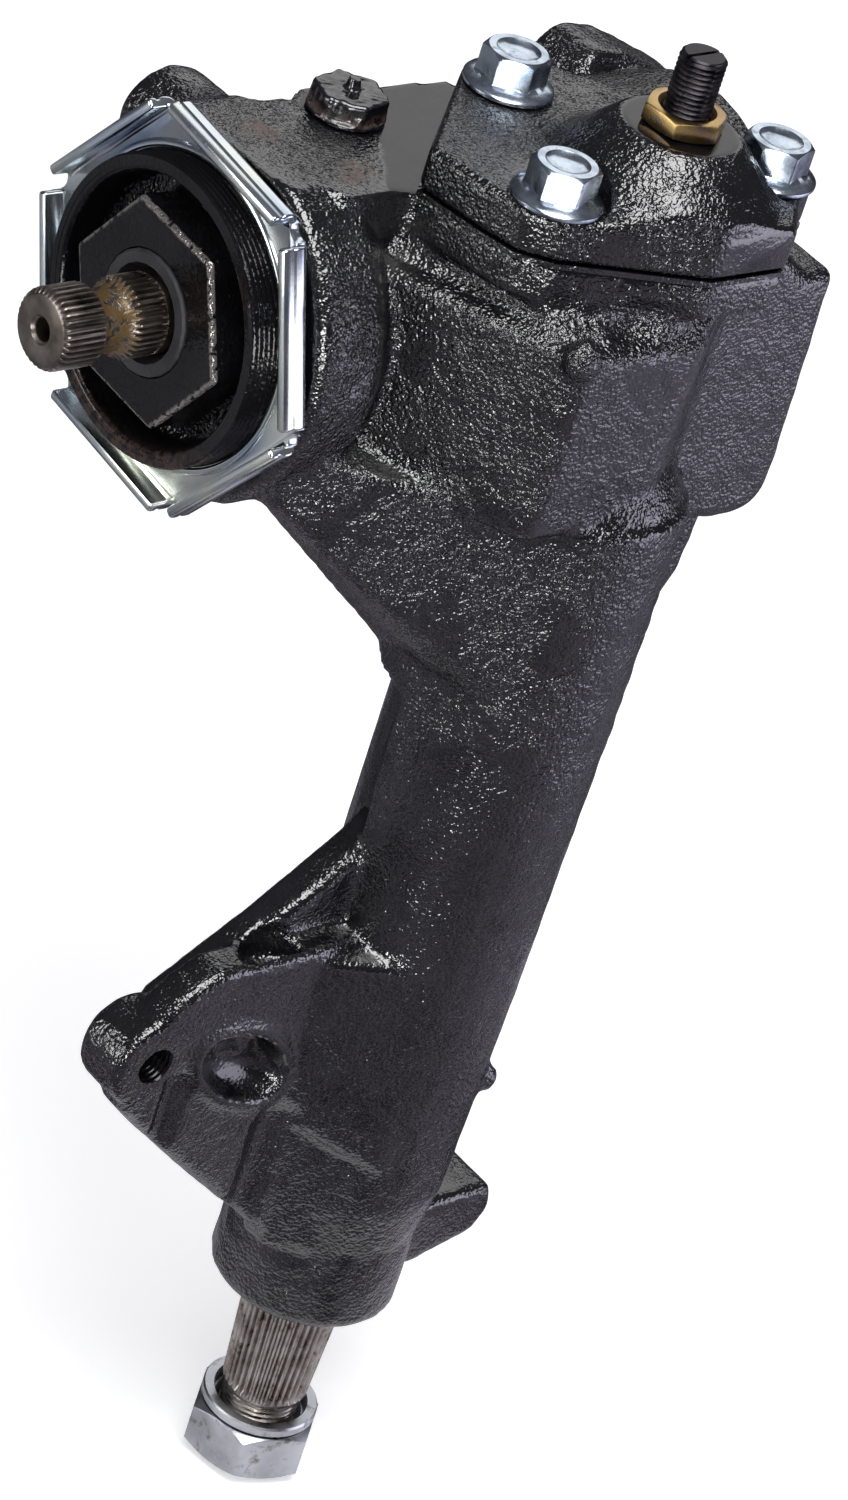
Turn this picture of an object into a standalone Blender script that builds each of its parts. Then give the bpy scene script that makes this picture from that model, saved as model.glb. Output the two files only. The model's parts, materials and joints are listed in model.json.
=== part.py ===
"""Manual steering gearbox: a worm and ball nut drive a long sector shaft in a cast housing.

The origin is the centre of the sector shaft's lower end face and +Z runs up that shaft.
The worm axis runs along X at WORM_Y and WORM_Z, with the input end towards -X.
"""

import math

import bmesh
import bpy
from mathutils import Matrix, Vector

MM = 0.001
SEAT_GAP = 0.3 * MM
ROUND_STEPS = 24
FINE_STEPS = 32

# Steering gear set
WORM_Y = 53.5 * MM
WORM_Z = 322.5 * MM
WORM_LEAD = 11.8 * MM
BALL_RADIUS = 3.175 * MM
BALL_CIRCLE = 11.5 * MM
BALLS_PER_CIRCUIT = 26
CIRCUIT_TURNS = 1.5
WORM_RADIUS = 11.1 * MM
NUT_LAND_RADIUS = 12.1 * MM
WORM_GROOVE_RADIUS = 3.7 * MM
NUT_GROOVE_RADIUS = 3.8 * MM
HELIX_STEPS = 14
PITCH_RADIUS = 30.0 * MM
PITCH_CIRCLE_TEETH = 12
PRESSURE_ANGLE = math.radians(25)
ADDENDUM = 5.0 * MM
DEDENDUM = 6.25 * MM
BACKLASH = 0.3 * MM
SECTOR_TEETH = 3
SECTOR_LOW = 306.0 * MM
SECTOR_HIGH = 339.0 * MM

# Sector shaft
SHAFT_RADIUS = 14.3 * MM
THREAD_RADIUS = 10.0 * MM
SERRATION_LOW = 22.0 * MM
SERRATION_HIGH = 58.0 * MM
SERRATION_LOW_RADIUS = 11.1 * MM
SERRATION_HIGH_RADIUS = 13.1 * MM
SERRATION_COUNT = 36
UPPER_JOURNAL_RADIUS = 12.7 * MM
HEAD_SLOT_HEIGHT = 5.2 * MM

# Lash adjuster
STUD_RADIUS = 5.55 * MM
STUD_REACH = 18.3 * MM
STUD_HEAD_RADIUS = 8.0 * MM
STUD_HEAD_HEIGHT = 3.6 * MM
SHIM_THICKNESS = 0.7 * MM
JAM_NUT_FLATS = 17.5 * MM
JAM_NUT_HEIGHT = 4.5 * MM

# Housing
BORE_BOTTOM = 58.5 * MM
BUSHING_OUTER = 17.45 * MM
SECTOR_SEAL_RADIUS = 20.6 * MM
SEAL_POCKET_TOP = 66.6 * MM
LOWER_BUSHING = (72.0 * MM, 110.0 * MM)
UPPER_BUSHING = (262.0 * MM, 296.0 * MM)
CAVITY_FLOOR = 302.0 * MM
CAVITY_RADIUS = 36.6 * MM
CAVITY_SHOULDER = 343.0 * MM
WORM_CASE_RADIUS = 38.0 * MM
HOUSING_TOP = WORM_Z + WORM_CASE_RADIUS + 3.1 * MM
CUT_REACH = 6.0 * MM
WORM_CASE_END = 76.5 * MM
INPUT_FLANGE_RADIUS = 45.5 * MM
INPUT_FLANGE_FACE = -79.4 * MM
WORM_BORE_RADIUS = 31.9 * MM
WORM_BORE_END = 58.6 * MM
ADJUSTER_BORE_END = -65.7 * MM
LUG_CENTRE = (-85.0 * MM, 153.5 * MM)
LUG_RADIUS = 12.0 * MM
LUG_FRONT = -10.0 * MM
LUG_BACK = 5.5 * MM
MOUNT_HOLE_RADIUS = 4.7 * MM
MOUNT_HOLE_DEPTH = 15.0 * MM
PAD_PLANE = 95.0 * MM
FRONT_PAD_CENTRE = (-65.0 * MM, 348.0 * MM)
REAR_PAD_CENTRE = (86.0 * MM, 331.0 * MM)
PAD_RADIUS = 12.5 * MM
PLUG_CENTRE = (-41.5 * MM, 60.2 * MM)
PLUG_SHANK_RADIUS = 6.5 * MM

# Side cover
GASKET_THICKNESS = 0.8 * MM
COVER_LOW = HOUSING_TOP + GASKET_THICKNESS + 2 * SEAT_GAP
COVER_TOP = COVER_LOW + 11.0 * MM
BOSS_TOP = COVER_TOP + 14.2 * MM
JOURNAL_TOP = COVER_TOP - 2.0 * MM
SLOT_FLOOR = JOURNAL_TOP - 10.0 * MM
STUD_TOP = BOSS_TOP + STUD_REACH
JAM_NUT_TOP = BOSS_TOP + SEAT_GAP + JAM_NUT_HEIGHT
BOSS_RADIUS = 13.8 * MM
COVER_SPIGOT_RADIUS = 18.5 * MM
COVER_SPIGOT_LOW = HOUSING_TOP - 13.6 * MM
COVER_BUSHING_RADIUS = 15.2 * MM
COVER_BUSHING = (COVER_SPIGOT_LOW + 1.0 * MM, JOURNAL_TOP - 3.0 * MM)
COVER_OUTLINE = [(-48.5, 26), (-46, 8), (-43.6, -2.6), (-36.9, -9.2), (-3, -25.6), (19, -26.1),
                 (31, -14.2), (39.5, -9.5), (44, 1), (38, 14), (8, 53), (0, 58), (-12.5, 56.5)]
COVER_BOLTS = [(-10.0 * MM, 44.0 * MM), (-33.8 * MM, -1.0 * MM), (29.2 * MM, -4.6 * MM)]
BOLT_RADIUS = 4.75 * MM
BOLT_END = HOUSING_TOP - 7.7 * MM
BOLT_FLATS = 14.3 * MM
BOLT_FLANGE_RADIUS = 10.8 * MM
BOLT_SEAT_RADIUS = BOLT_FLANGE_RADIUS + 1.4 * MM
BOLT_HEAD_HEIGHT = 9.5 * MM

# Worm bearings and their adjuster
INPUT_BALLS_X = -66.0 * MM
END_BALLS_X = 62.0 * MM
RACE_CIRCLE = 12.6 * MM
RACE_BALL_RADIUS = 3.2 * MM
RACE_BALLS = 12
CUP_RADIUS = 19.5 * MM
ADJUSTER_RADIUS = 35.8 * MM
ADJUSTER_FRONT = -91.0 * MM
ADJUSTER_INNER_END = -61.9 * MM
ADJUSTER_RECESS_RADIUS = 31.5 * MM
HEX_BOSS_FRONT = -92.5 * MM
HEX_BOSS_RADIUS = 26.7 * MM
INPUT_SEAL_RADIUS = 14.6 * MM
INPUT_SEAL_FRONT = -93.3 * MM
INPUT_SEAL_BACK = -85.3 * MM
LOCK_NUT_APOTHEM = ADJUSTER_RADIUS + 6.7 * MM
LOCK_NUT_FRONT = -83.2 * MM
LOCK_NUT_BACK = -80.6 * MM
LOCK_LIP_FRONT = -88.4 * MM
LOCK_LIP_LENGTH = 41.0 * MM
LOCK_SHEET = 2.4 * MM

# Input shaft
INPUT_END = -122.1 * MM
SPLINE_RADIUS = 9.55 * MM
SPLINE_ROOT = 8.7 * MM
SPLINE_COUNT = 36
SPLINE_GROOVE = (-110.0 * MM, -102.0 * MM)
SPLINE_GROOVE_RADIUS = 7.3 * MM
SPLINE_END = -94.0 * MM
WORM_SHAFT_END = 66.0 * MM

# Pitman nut and washer
PITMAN_NUT = (1.5 * MM, 14.7 * MM)
PITMAN_NUT_FLATS = 30.0 * MM
PITMAN_WASHER = (15.0 * MM, 18.2 * MM)
PITMAN_WASHER_RADII = (11.9 * MM, 15.0 * MM)

# Ball guides, measured from the worm axis towards +Y
NUT_BACK = 17.0 * MM
NUT_HALF_HEIGHT = 18.0 * MM
NUT_HALF_LENGTH = 35.0 * MM
RACK_HALF_HEIGHT = 13.0 * MM
GUIDE_HEIGHT = 21.0 * MM
GUIDE_RADIUS = 4.5 * MM
GUIDE_BORE = 3.6 * MM
GUIDE_FOOT = 8.0 * MM
GUIDE_CORNER = 5.0 * MM
CLAMP_PLATE = (25.8 * MM, 27.0 * MM)
CLAMP_SCREW = (-6.2 * MM, 8.8 * MM)


def start():
    """Empty the scene and make the collections for the gearbox and for its cutters."""
    for old in list(bpy.data.objects):
        bpy.data.objects.remove(old, do_unlink=True)
    scene = bpy.context.scene
    scene.unit_settings.system = "METRIC"
    scene.unit_settings.scale_length = 1.0
    parts = bpy.data.collections.new("steering_gearbox")
    cutters = bpy.data.collections.new("cutters")
    scene.collection.children.link(parts)
    scene.collection.children.link(cutters)
    cutters.hide_render = True
    return parts, cutters


PARTS, CUTTERS = start()


def material(name, colour, roughness, metallic):
    made = bpy.data.materials.new(name)
    made.use_nodes = True
    shader = made.node_tree.nodes["Principled BSDF"]
    shader.inputs["Base Color"].default_value = (*colour, 1.0)
    shader.inputs["Roughness"].default_value = roughness
    shader.inputs["Metallic"].default_value = metallic
    made.diffuse_color = (*colour, 1.0)
    made.roughness = roughness
    made.metallic = metallic
    return made


def mm(points):
    return [(a * MM, b * MM) for a, b in points]


def oriented(axis, across, up, along):
    """A world point from two coordinates across the axis and one along it."""
    if axis == "X":
        return (along, across, up)
    if axis == "Y":
        return (across, along, up)
    return (across, up, along)


def to_object(bm, name, smooth=False):
    """Give the mesh to a new helper object, with faces outwards."""
    bm.normal_update()
    bmesh.ops.recalc_face_normals(bm, faces=bm.faces)
    mesh = bpy.data.meshes.new(name)
    bm.to_mesh(mesh)
    bm.free()
    if smooth:
        mesh.shade_smooth()
        mesh.set_sharp_from_angle(angle=math.radians(34))
    helper = bpy.data.objects.new(name, mesh)
    CUTTERS.objects.link(helper)
    helper.hide_render = True
    helper.display_type = "WIRE"
    return helper


def spun(name, profile, axis="Z", centre=(0, 0), steps=ROUND_STEPS, turn=0.0):
    """A closed profile of (radius, height) points spun about an axis."""
    bm = bmesh.new()
    start_turn = Matrix.Rotation(turn, 4, "Z")
    points = [bm.verts.new(start_turn @ Vector((r, 0, h))) for r, h in profile]
    for i, point in enumerate(points):
        other = (i + 1) % len(points)
        if profile[i][0] > 0 or profile[other][0] > 0:
            bm.edges.new((point, points[other]))
    bmesh.ops.spin(bm, geom=bm.verts[:] + bm.edges[:], cent=(0, 0, 0), axis=(0, 0, 1),
                   angle=2 * math.pi, steps=steps, use_merge=True, use_duplicate=False)
    bmesh.ops.remove_doubles(bm, verts=bm.verts, dist=1e-6)
    for vert in bm.verts:
        vert.co = oriented(axis, vert.co.x + centre[0], vert.co.y + centre[1], vert.co.z)
    return to_object(bm, name, smooth=True)


def prism(name, outline, low, high, axis="Z", top=None, bevel=0.0, segments=1):
    """An outline extruded between two levels of an axis, or lofted to a second outline."""
    bm = bmesh.new()
    count = len(outline)
    base = [bm.verts.new(oriented(axis, a, b, low)) for a, b in outline]
    lid = [bm.verts.new(oriented(axis, a, b, high)) for a, b in (top or outline)]
    bm.faces.new(base)
    bm.faces.new(lid[::-1])
    for i in range(count):
        j = (i + 1) % count
        bm.faces.new((base[i], base[j], lid[j], lid[i]))
    bmesh.ops.recalc_face_normals(bm, faces=bm.faces)
    if bevel:
        sharp = [edge for edge in bm.edges if edge.calc_face_angle(0) > math.radians(24)]
        bmesh.ops.bevel(bm, geom=sharp, offset=bevel, offset_type="OFFSET", segments=segments,
                        profile=0.5, affect="EDGES", clamp_overlap=True, material=-1)
    return to_object(bm, name)


def box(name, lows, highs, bevel=0.0):
    corners = [(lows[0], lows[1]), (highs[0], lows[1]), (highs[0], highs[1]), (lows[0], highs[1])]
    return prism(name, corners, lows[2], highs[2], bevel=bevel)


def hull(name, points):
    bm = bmesh.new()
    for point in points:
        bm.verts.new(point)
    result = bmesh.ops.convex_hull(bm, input=bm.verts)
    loose = [item for item in result["geom_interior"] if isinstance(item, bmesh.types.BMVert)]
    bmesh.ops.delete(bm, geom=loose, context="VERTS")
    return to_object(bm, name)


def regular(radius, sides, turn=0.0, centre=(0, 0)):
    """The corners of a regular polygon."""
    angles = [turn + 2 * math.pi * i / sides for i in range(sides)]
    return [(centre[0] + radius * math.cos(a), centre[1] + radius * math.sin(a)) for a in angles]


def toothed(outer, root, count):
    """A closed outline of V-shaped teeth."""
    return [((outer, root)[i % 2] * math.cos(math.pi * i / count),
             (outer, root)[i % 2] * math.sin(math.pi * i / count)) for i in range(2 * count)]


def combine(target, operation, *tools, solver="EXACT"):
    for tool in tools:
        step = target.modifiers.new(tool.name, "BOOLEAN")
        step.operation = operation
        step.solver = solver
        step.object = tool
    return target


def fuse(target, *tools, solver="EXACT"):
    return combine(target, "UNION", *tools, solver=solver)


def cut(target, *tools, solver="EXACT"):
    return combine(target, "DIFFERENCE", *tools, solver=solver)


def node(helper, name, colour, roughness, metallic, origin=(0, 0, 0)):
    """Turn a helper into a named piece with its own material and its origin on its axis."""
    helper.name = name
    helper.data.name = name
    helper.data.materials.append(material(name, colour, roughness, metallic))
    helper.hide_render = False
    helper.display_type = "TEXTURED"
    CUTTERS.objects.unlink(helper)
    PARTS.objects.link(helper)
    shift = Matrix.Translation(-Vector(origin))
    helper.data.transform(shift)
    helper.location = origin
    return helper


def copy_of(first, name, offset):
    """Another piece of the same shape, moved by an offset."""
    made = bpy.data.objects.new(name, first.data)
    made.location = first.location + Vector(offset)
    PARTS.objects.link(made)
    return made


def swept(name, frames, section, closed):
    """A section carried along frames of (point, across, up), each with its own scale."""
    bm = bmesh.new()
    rings = []
    for point, across, up, size in frames:
        rings.append([bm.verts.new(point + across * (a * size) + up * (b * size)) for a, b in section])
    count = len(section)
    spans = len(rings) if closed else len(rings) - 1
    for i in range(spans):
        ring = rings[i]
        following = rings[(i + 1) % len(rings)]
        for j in range(count):
            k = (j + 1) % count
            bm.faces.new((ring[j], ring[k], following[k], following[j]))
    if not closed:
        bm.faces.new(rings[0])
        bm.faces.new(rings[-1][::-1])
    return to_object(bm, name, smooth=True)


def spaced(path, count, closed):
    """Points at even distances along a polyline, with their directions."""
    ends = path + [path[0]] if closed else path
    lengths = [0.0]
    for a, b in zip(ends, ends[1:]):
        lengths.append(lengths[-1] + (b - a).length)
    found = []
    for i in range(count):
        wanted = lengths[-1] * i / (count if closed else count - 1)
        k = max(j for j in range(len(lengths) - 1) if lengths[j] <= wanted + 1e-12)
        step = ends[k + 1] - ends[k]
        share = (wanted - lengths[k]) / step.length
        found.append((ends[k] + step * share, step.normalized()))
    return found


def bead_string(name, path, balls, radius):
    """A closed train of balls joined at their necks."""
    sizes = (0.42, 0.94, 0.94)
    frames = []
    stations = spaced(path, balls * len(sizes), True)
    for i, (point, along) in enumerate(stations):
        before = stations[i - 1][1]
        direction = (along + before).normalized()
        across = (Vector((1, 0, 0)) - direction * direction.x).normalized()
        up = direction.cross(across)
        frames.append((point, across, up, radius * sizes[i % len(sizes)]))
    return swept(name, frames, regular(1.0, 5), True)


def worm_point(x, angle, radius):
    return Vector((x, WORM_Y + radius * math.cos(angle), WORM_Z + radius * math.sin(angle)))


def helicoid(name, land, groove, length):
    """A right-hand ball screw form whose groove crosses +Y of the axis at x = 0."""
    depth = abs(land - BALL_CIRCLE)
    side = 1 if land > BALL_CIRCLE else -1
    half = math.sqrt(groove ** 2 - depth ** 2)
    inner = 0.45 * half
    reach = math.sqrt(groove ** 2 - inner ** 2)
    turn_profile = [(-half, land), (-inner, BALL_CIRCLE + side * reach),
                    (inner, BALL_CIRCLE + side * reach),
                    (half, land)]
    per_turn = len(turn_profile)
    turns = 2 * math.ceil(length / 2 / WORM_LEAD) + 3
    start_x = -WORM_LEAD * math.ceil(turns / 2)
    stations = [(start_x + n * WORM_LEAD + a, r) for n in range(turns) for a, r in turn_profile]
    bm = bmesh.new()
    columns = []
    for j in range(HELIX_STEPS):
        angle = 2 * math.pi * j / HELIX_STEPS
        shift = WORM_LEAD * j / HELIX_STEPS
        columns.append([bm.verts.new(worm_point(x + shift, angle, r)) for x, r in stations])
    for j in range(HELIX_STEPS):
        last = j == HELIX_STEPS - 1
        for i in range(len(stations) - 1):
            k = i + per_turn if last else i
            if k + 1 < len(stations):
                other = columns[0 if last else j + 1]
                bm.faces.new((columns[j][i], columns[j][i + 1], other[k + 1], other[k]))
    low_loop = [column[0] for column in columns] + columns[0][per_turn:0:-1]
    high_loop = columns[-1][-per_turn - 1:] + [column[-1] for column in columns[-2::-1]]
    for loop, end in ((low_loop, start_x - WORM_LEAD), (high_loop, start_x + (turns + 1) * WORM_LEAD)):
        hub = bm.verts.new(worm_point(end, 0, 0))
        for a, b in zip(loop, loop[1:] + loop[:1]):
            bm.faces.new((a, b, hub))
    made = to_object(bm, name)
    trim = spun(name + "_trim", [(0, -length / 2), (4 * land, -length / 2), (4 * land, length / 2),
                                 (0, length / 2)], "X", (WORM_Y, WORM_Z), 12)
    return combine(made, "INTERSECT", trim)


def circuit_path(start_x):
    """The closed path of one ball circuit: around the worm, then back over the nut."""
    points = []
    count = 40
    for i in range(count + 1):
        turned = 2 * math.pi * CIRCUIT_TURNS * i / count
        x = start_x + WORM_LEAD * CIRCUIT_TURNS * i / count
        points.append(worm_point(x, math.pi / 2 + turned, BALL_CIRCLE))
    return points + guide_path(start_x, 2.0 * MM)[::-1]


def guide_path(start_x, foot):
    """From the start leg up, over and down the other leg, with rounded corners."""
    legs = [(start_x, BALL_CIRCLE), (start_x + WORM_LEAD * CIRCUIT_TURNS, -BALL_CIRCLE)]
    tops = [Vector((x, WORM_Y + GUIDE_HEIGHT, WORM_Z + z)) for x, z in legs]
    over = (tops[1] - tops[0]).normalized()
    rise = Vector((0, 1, 0))
    points = [tops[0] - rise * (GUIDE_HEIGHT - foot)]
    for i in range(4):
        angle = math.pi / 2 * i / 3
        points.append(tops[0] + (over - rise) * GUIDE_CORNER
                      + (rise * math.sin(angle) - over * math.cos(angle)) * GUIDE_CORNER)
    for i in range(4):
        angle = math.pi / 2 * i / 3
        points.append(tops[1] - (over + rise) * GUIDE_CORNER
                      + (rise * math.cos(angle) + over * math.sin(angle)) * GUIDE_CORNER)
    points.append(tops[1] - rise * (GUIDE_HEIGHT - foot))
    return points


def guide_half(name, start_x, side):
    """One half of a ball guide, split along the plane of its path."""
    path = guide_path(start_x, GUIDE_FOOT)
    over = Vector((WORM_LEAD * CIRCUIT_TURNS, 0, -2 * BALL_CIRCLE)).normalized()
    across = Vector((0, 1, 0)).cross(over)
    half_gap = SEAT_GAP / 2
    section = []
    for radius, order in ((GUIDE_RADIUS, range(5)), (GUIDE_BORE, range(4, -1, -1))):
        flat = math.asin(half_gap / radius)
        for i in order:
            angle = flat + (math.pi - 2 * flat) * i / 4
            section.append((side * radius * math.sin(angle), radius * math.cos(angle)))
    frames = []
    for i, point in enumerate(path):
        before = path[max(i - 1, 0)]
        after = path[min(i + 1, len(path) - 1)]
        along = (after - before).normalized()
        frames.append((point, across, along.cross(across), 1.0))
    return swept(name, frames, section, False)


def tooth_outline(offset_angle):
    """One involute tooth from root to tip to root, about an angle from +Y."""
    base = PITCH_RADIUS * math.cos(PRESSURE_ANGLE)
    half_pitch = math.pi / PITCH_CIRCLE_TEETH / 2 - BACKLASH / 2 / PITCH_RADIUS
    flank = half_pitch + math.tan(PRESSURE_ANGLE) - PRESSURE_ANGLE
    tip = PITCH_RADIUS + ADDENDUM
    root = PITCH_RADIUS - DEDENDUM
    side = [(root, flank)]
    for i in range(5):
        radius = base + (tip - base) * i / 4
        phi = math.acos(min(1.0, base / radius))
        side.append((radius, flank - (math.tan(phi) - phi)))
    outline = [(r, -a) for r, a in side] + [(r, a) for r, a in reversed(side)]
    return [(r * math.sin(a + offset_angle), r * math.cos(a + offset_angle)) for r, a in outline]


def make_housing():
    """The casting: shaft tube, worm case, gear chamber, mounting ears, then its bores."""
    tube = spun("tube", mm([(0, 58.5), (22.6, 58.5), (23.9, 59.8), (23.9, 82), (26.4, 98), (27.3, 129),
                            (28.2, 161), (28.6, 195), (29.3, 240), (29.5, 299), (0, 299)]),
                            steps=FINE_STEPS)
    relief_angles = [math.radians(3 + 174 * i / 14) for i in range(15)]
    relief = [(24 * MM * math.cos(a), 24 * MM * math.sin(a)) for a in relief_angles]
    relief += [(45 * MM * math.cos(a), 45 * MM * math.sin(a)) for a in reversed(relief_angles)]
    cut(tube, prism("rear_relief", relief, 104 * MM, 240 * MM))
    case = spun("worm_case", [(0, INPUT_FLANGE_FACE), (INPUT_FLANGE_RADIUS - 2 * MM, INPUT_FLANGE_FACE),
                              (INPUT_FLANGE_RADIUS, INPUT_FLANGE_FACE + 2 * MM),
                              (INPUT_FLANGE_RADIUS, -62 * MM),
                              (WORM_CASE_RADIUS, -52 * MM), (WORM_CASE_RADIUS, WORM_CASE_END - 6 * MM),
                              (WORM_CASE_RADIUS - 6 * MM, WORM_CASE_END), (0, WORM_CASE_END)],
                "X", (WORM_Y, WORM_Z), FINE_STEPS)
    chamber = prism("chamber", mm([(-55, 17), (-33.5, -23), (2, -24), (23, -9.5), (60, -9), (60, 50),
                                   (-55, 50)]),
                    298 * MM, 349 * MM, bevel=2.2 * MM,
                    top=mm([(-56, 18), (-34, -24.5), (2, -25.5), (23, -10), (60, -9), (60, 50), (-56, 50)]))
    block = prism("right_block", mm([(20, 284), (51, 281.5), (58, 283), (61.8, 289), (61.6, 300), (60, 337),
                                     (56, 344), (42, 355.5), (20, 355.5)]),
                  -9.5 * MM, 48 * MM, "Y", bevel=2.4 * MM)
    neck = prism("neck", mm([(-53, 24), (-33, -22), (1, -24), (20, -10), (40, -8), (42, 20), (8, 50),
                             (-14, 52)]),
                 346 * MM, 357 * MM,
                 top=mm([(-46, 27), (-38, -3), (-4, -20.5), (17, -21.5), (37, -7), (40, 18), (8, 50),
                         (-12, 52)]))
    inset = [(x * 0.985, y * 0.985) for x, y in COVER_OUTLINE[:-1]]
    seat = prism("cover_seat", mm(inset + [(-12.5, 56), (-40, 50), (-57, 30)]), 354.5 * MM, HOUSING_TOP)
    front_half = [(28.9 * MM * math.cos(a), 28.9 * MM * math.sin(a))
                  for a in [math.radians(180 + 15 * i) for i in range(13)]]
    rib = [(-9.4, 24, 231), (-13, 16, 236), (-71, 24, 287.6), (-74, 15, 292), (-74, 15, 306),
           (-74, 26, 306),
           (0, 26, 306), (10, 20, 240)]
    web = hull("web", [(x, y, z) for z in (250 * MM, 299 * MM) for x, y in front_half]
               + [(x * MM, y * MM, z * MM) for x, y, z in rib])
    gusset = prism("gusset", mm([(18, 292), (49.5, 288), (47.5, 264), (29.5, 226), (18, 222)]),
                   -3.5 * MM, 4.5 * MM, "Y", bevel=1.5 * MM)
    front_lug = [(FRONT_PAD_CENTRE[0] + PAD_RADIUS * math.cos(a),
                  FRONT_PAD_CENTRE[1] + PAD_RADIUS * math.sin(a))
                 for a in [math.radians(62 + 27.6 * i) for i in range(6)]]
    front_pad = prism("front_pad", mm([(-24, 344), (-44, 348.5)]) + front_lug + mm([(-74, 325), (-24, 325)]),
                      72 * MM, PAD_PLANE, "Y", bevel=1.6 * MM)
    rear_pad = prism("rear_pad", mm([(49, 322), (50, 353), (56, 357.5), (66, 356), (88, 346), (98, 339),
                                     (99, 328),
                                     (93, 318), (82, 314), (60, 312)]), 78 * MM, PAD_PLANE, "Y",
                     bevel=1.6 * MM)
    ear_front = prism("ear_front", mm([(-8, 176), (-71, 177), (-80, 172), (-96, 157.5), (-93, 146),
                                       (-90, 140),
                                       (-83, 133), (-62, 114), (-36, 91.6), (-24, 80.6), (-8, 80.6)]),
                      LUG_FRONT, 1 * MM, "Y", bevel=1.6 * MM)
    ear_back = prism("ear_back", mm([(-8, 212), (-20, 207), (-28.8, 197), (-51.5, 180), (-78, 163),
                                     (-84, 150),
                                     (-80, 130), (-62, 114), (-36, 92), (-24, 81), (-8, 81)]),
                     -2 * MM, 8.5 * MM, "Y", bevel=1.6 * MM)
    lug = spun("lug", [(0, LUG_FRONT), (LUG_RADIUS - 1 * MM, LUG_FRONT), (LUG_RADIUS, LUG_FRONT + 1 * MM),
                       (LUG_RADIUS, LUG_BACK - 2 * MM), (LUG_RADIUS - 2 * MM, LUG_BACK), (0, LUG_BACK)],
               "Y", LUG_CENTRE, 24)
    small_ear = prism("small_ear", mm([(10, 80.3), (48.5, 80.3), (50.4, 73), (46.8, 65.5), (26.6, 60.2),
                                       (10, 60.2)]),
                      -11 * MM, 11 * MM, "Y", bevel=1.6 * MM)
    blend = hull("ear_blend", [(x * MM, y * MM, z * MM) for x, y, z in (
        (-42, -9.6, 173), (-25, -13.5, 174), (-13, -24, 172), (-6, 0, 176), (-42, -2, 173),
        (-38, -9.6, 126),
        (-27, -14.5, 121), (-13, -24.5, 112), (-4, -26, 109), (-6, 0, 109), (-38, -2, 122))])
    collar_blend = hull("collar_blend", [(x * MM, y * MM, z * MM) for x, y, z in (
        (-34, -9.7, 124), (-24, -14, 124), (-6, -23, 124), (-6, 0, 124), (-34, -2, 124), (-29, -9.7, 82),
        (-8, -22.3, 82), (-6, 0, 82), (-29, -2, 82))])
    nub = spun("casting_nub", mm([(0, 127.5), (2.4, 128.5), (3, 131), (2.4, 133.5), (0, 134.5)]),
               "Z", (18.2 * MM, -21.2 * MM), 8)
    plug_boss = spun("plug_boss", [(0, HOUSING_TOP - 13.6 * MM), (14.5 * MM, HOUSING_TOP - 13.6 * MM),
                                  (12.6 * MM, HOUSING_TOP), (0, HOUSING_TOP)],
                     "Z", PLUG_CENTRE, 24)
    deck = prism("deck", mm([(-75.5, 50), (-74.5, 39), (-66.5, 26.5), (-43, 25.5), (-28, 34), (-8, 54), (0, 62),
                             (-2, 69.5), (-24, 71.5), (-48, 71), (-61, 73), (-73.5, 73)]),
                 HOUSING_TOP - 22 * MM, HOUSING_TOP,
                 top=mm([(-74, 50), (-73, 40), (-66, 28.5), (-44, 27.5), (-30, 36), (-10, 56), (-3, 62),
                         (-4, 67.5), (-24, 69.5), (-48, 69), (-61, 71), (-72, 71)]))
    housing = fuse(tube, case, chamber, block, neck, seat, web, gusset, front_pad, rear_pad, ear_front, ear_back,
                   lug, small_ear, blend, collar_blend, nub, plug_boss, deck)
    flange_flat = box("flange_flat", (INPUT_FLANGE_FACE - 2 * MM, WORM_Y - 35 * MM, HOUSING_TOP),
                      (-50 * MM, WORM_Y + 35 * MM, HOUSING_TOP + CUT_REACH))
    cut(housing, flange_flat, solver="MANIFOLD")

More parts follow.
